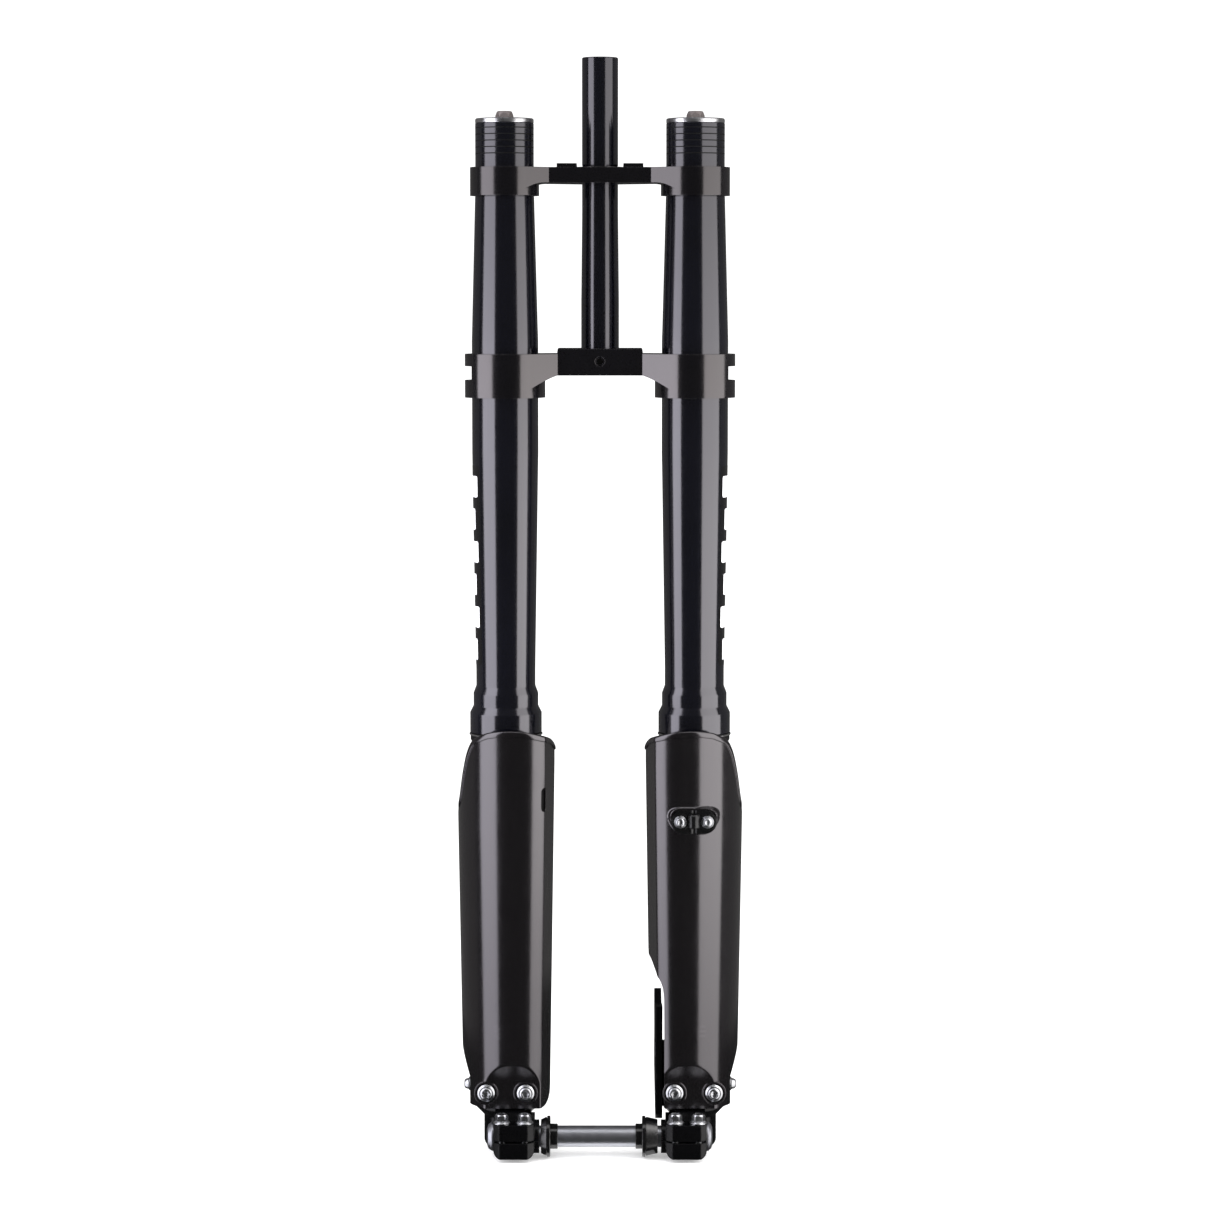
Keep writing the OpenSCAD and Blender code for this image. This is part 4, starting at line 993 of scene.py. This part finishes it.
def build_floor():
    """The floor, in two pieces: reflections show only the small one under the axle."""
    gap, reach = 0.0005, 30.0
    z = FLOOR_Z - gap
    x, near, far = 0.045, -0.069, 0.03
    outer = [(-reach, -reach), (reach, -reach), (reach, reach), (-reach, reach)]
    inner = [(-x, near), (x, near), (x, far), (-x, far)]
    points = [(a, b, z) for a, b in outer + inner]
    rim = [(i, (i + 1) % 4, (i + 1) % 4 + 4, i + 4) for i in range(4)]
    white = plain_material("studio_floor", (0.88, 0.88, 0.88), 0.9)
    glow = white.node_tree.nodes["Principled BSDF"].inputs
    glow["Emission Color"].default_value = (1, 1, 1, 1)
    glow["Emission Strength"].default_value = 0.3
    for name, faces in (("floor", rim), ("floor_under", [(4, 5, 6, 7)])):
        mesh = bpy.data.meshes.new(name)
        mesh.from_pydata(points, [], faces)
        piece = bpy.data.objects.new(name, mesh)
        bpy.context.scene.collection.objects.link(piece)
        mesh.materials.append(white)
        piece.visible_glossy = name == "floor_under"


def panel(name, start, end, low, high, radiance, colour, levels):
    """A tall soft panel over a line in plan, shining to the side where the fork stands.
    levels are (share of its height, share of its radiance)."""
    start, end = Vector((*start, 0)), Vector((*end, 0))
    along = (end - start).normalized()
    facing = along.cross(Vector((0, 0, 1)))
    middle = (start + end) / 2
    if facing.dot(-middle) < 0:
        facing = -facing
    width, tall = (end - start).length, high - low
    light = bpy.data.lights.new(name, "AREA")
    light.shape = "RECTANGLE"
    light.size, light.size_y = width, tall
    light.energy = radiance * math.pi * width * tall
    light.color = colour
    light.use_nodes = True
    tree = light.node_tree
    spot = add(tree, "NewGeometry").outputs["Parametric"]
    height = add(tree, "SeparateXYZ", {0: spot}).outputs["Y"]
    ramp = add(tree, "ValToRGB", {"Fac": height})
    ramp.color_ramp.interpolation = "B_SPLINE"
    stops = ramp.color_ramp.elements
    while len(stops) < len(levels):
        stops.new(0.5)
    for stop, (share, level) in zip(stops, levels):
        stop.position = share
        stop.color = (level, level, level, 1)
    tree.links.new(ramp.outputs["Color"], tree.nodes["Emission"].inputs["Color"])
    lamp = bpy.data.objects.new(name, light)
    lamp.location = (middle.x, middle.y, (low + high) / 2)
    lamp.rotation_euler = facing.to_track_quat("-Z", "Y").to_euler()
    lamp.visible_camera = False
    bpy.context.scene.collection.objects.link(lamp)
    return lamp


LEFT_LEVELS = [(0.0, 0.5), (0.25, 0.62), (0.36, 0.84), (0.50, 0.97), (0.61, 1.0), (0.68, 0.74),
               (0.85, 0.64)]
RIGHT_LEVELS = [(0.0, 0.4), (0.25, 0.60), (0.36, 0.90), (0.50, 1.0), (0.61, 0.78), (0.72, 0.56),
                (0.85, 0.45)]
EVEN = [(0.0, 1.0), (1.0, 1.0)]
PANEL_FOOT, PANEL_HEAD = -1.0, 0.6
LEFT_RADIANCE, RIGHT_RADIANCE, REAR_RADIANCE, TOP_RADIANCE = 3.4, 3.0, 0.10, 1.3
SKY_STRENGTH, SKY_IN_GLOSS = 1.25, 0.04


def build_panels():
    """Two tall panels in front for the strips of light, two weak ones behind, one above."""
    leg_plane = LEG_Y * MM
    panel("left_panel", (-0.267, leg_plane - 0.287), (-0.420, leg_plane - 0.060),
          PANEL_FOOT, PANEL_HEAD, LEFT_RADIANCE, (0.94, 0.93, 1.0), LEFT_LEVELS)
    panel("right_panel", (0.195, leg_plane - 0.275), (0.420, leg_plane - 0.010),
          PANEL_FOOT, PANEL_HEAD, RIGHT_RADIANCE, (1.0, 0.98, 0.975), RIGHT_LEVELS)
    for side in SIDES.values():
        panel("rear_panel", (side * 0.45, 0.02), (side * 0.20, 0.60), -0.63, PANEL_HEAD,
              REAR_RADIANCE, (1.0, 0.97, 0.96), EVEN)
    width, depth, place_y, place_z = 1.0, 0.6, -0.75, 1.25
    top = panel("top_panel", (-width / 2, place_y), (width / 2, place_y), -depth / 2, depth / 2,
                TOP_RADIANCE, (1.0, 1.0, 1.0), EVEN)
    top.location.z = place_z
    look_at = Vector((0, -0.05, -0.3))
    top.rotation_euler = (look_at - top.location).to_track_quat("-Z", "Y").to_euler()


def build_sky():
    """A white surround that lights the scene, and that gloss hardly sees."""
    world = bpy.data.worlds.new("studio")
    bpy.context.scene.world = world
    world.use_nodes = True
    tree = world.node_tree
    sky = tree.nodes["Background"]
    sky.inputs["Color"].default_value = (1, 1, 1, 1)
    glossy = add(tree, "LightPath").outputs["Is Glossy Ray"]
    strength = add(tree, "MapRange", {"Value": glossy, "To Min": SKY_STRENGTH,
                                      "To Max": SKY_IN_GLOSS})
    tree.links.new(strength.outputs["Result"], sky.inputs["Strength"])


def build_camera():
    """A long lens straight in front, a little above the fork's middle."""
    aim = Vector((0.0055, 0, -0.207))
    reach, rise = 2.739, math.radians(5.2)
    data = bpy.data.cameras.new("camera")
    data.lens, data.sensor_width = 101.7, 36.0
    data.clip_end = 100
    camera = bpy.data.objects.new("camera", data)
    bpy.context.scene.collection.objects.link(camera)
    camera.location = aim + Vector((0, -reach, reach * math.tan(rise)))
    camera.rotation_euler = (aim - camera.location).to_track_quat("-Z", "Y").to_euler()
    bpy.context.scene.camera = camera
    bpy.context.scene.view_settings.view_transform = "Standard"


build_camera()
build_panels()
build_sky()
build_floor()
paint_frame()
for guard_name in SIDES:
    build_guard(guard_name)
build_shaded_slot_floor()
build_screws()
build_hose_guide()
build_spring()
build_groove_shade_lines()
build_decals()
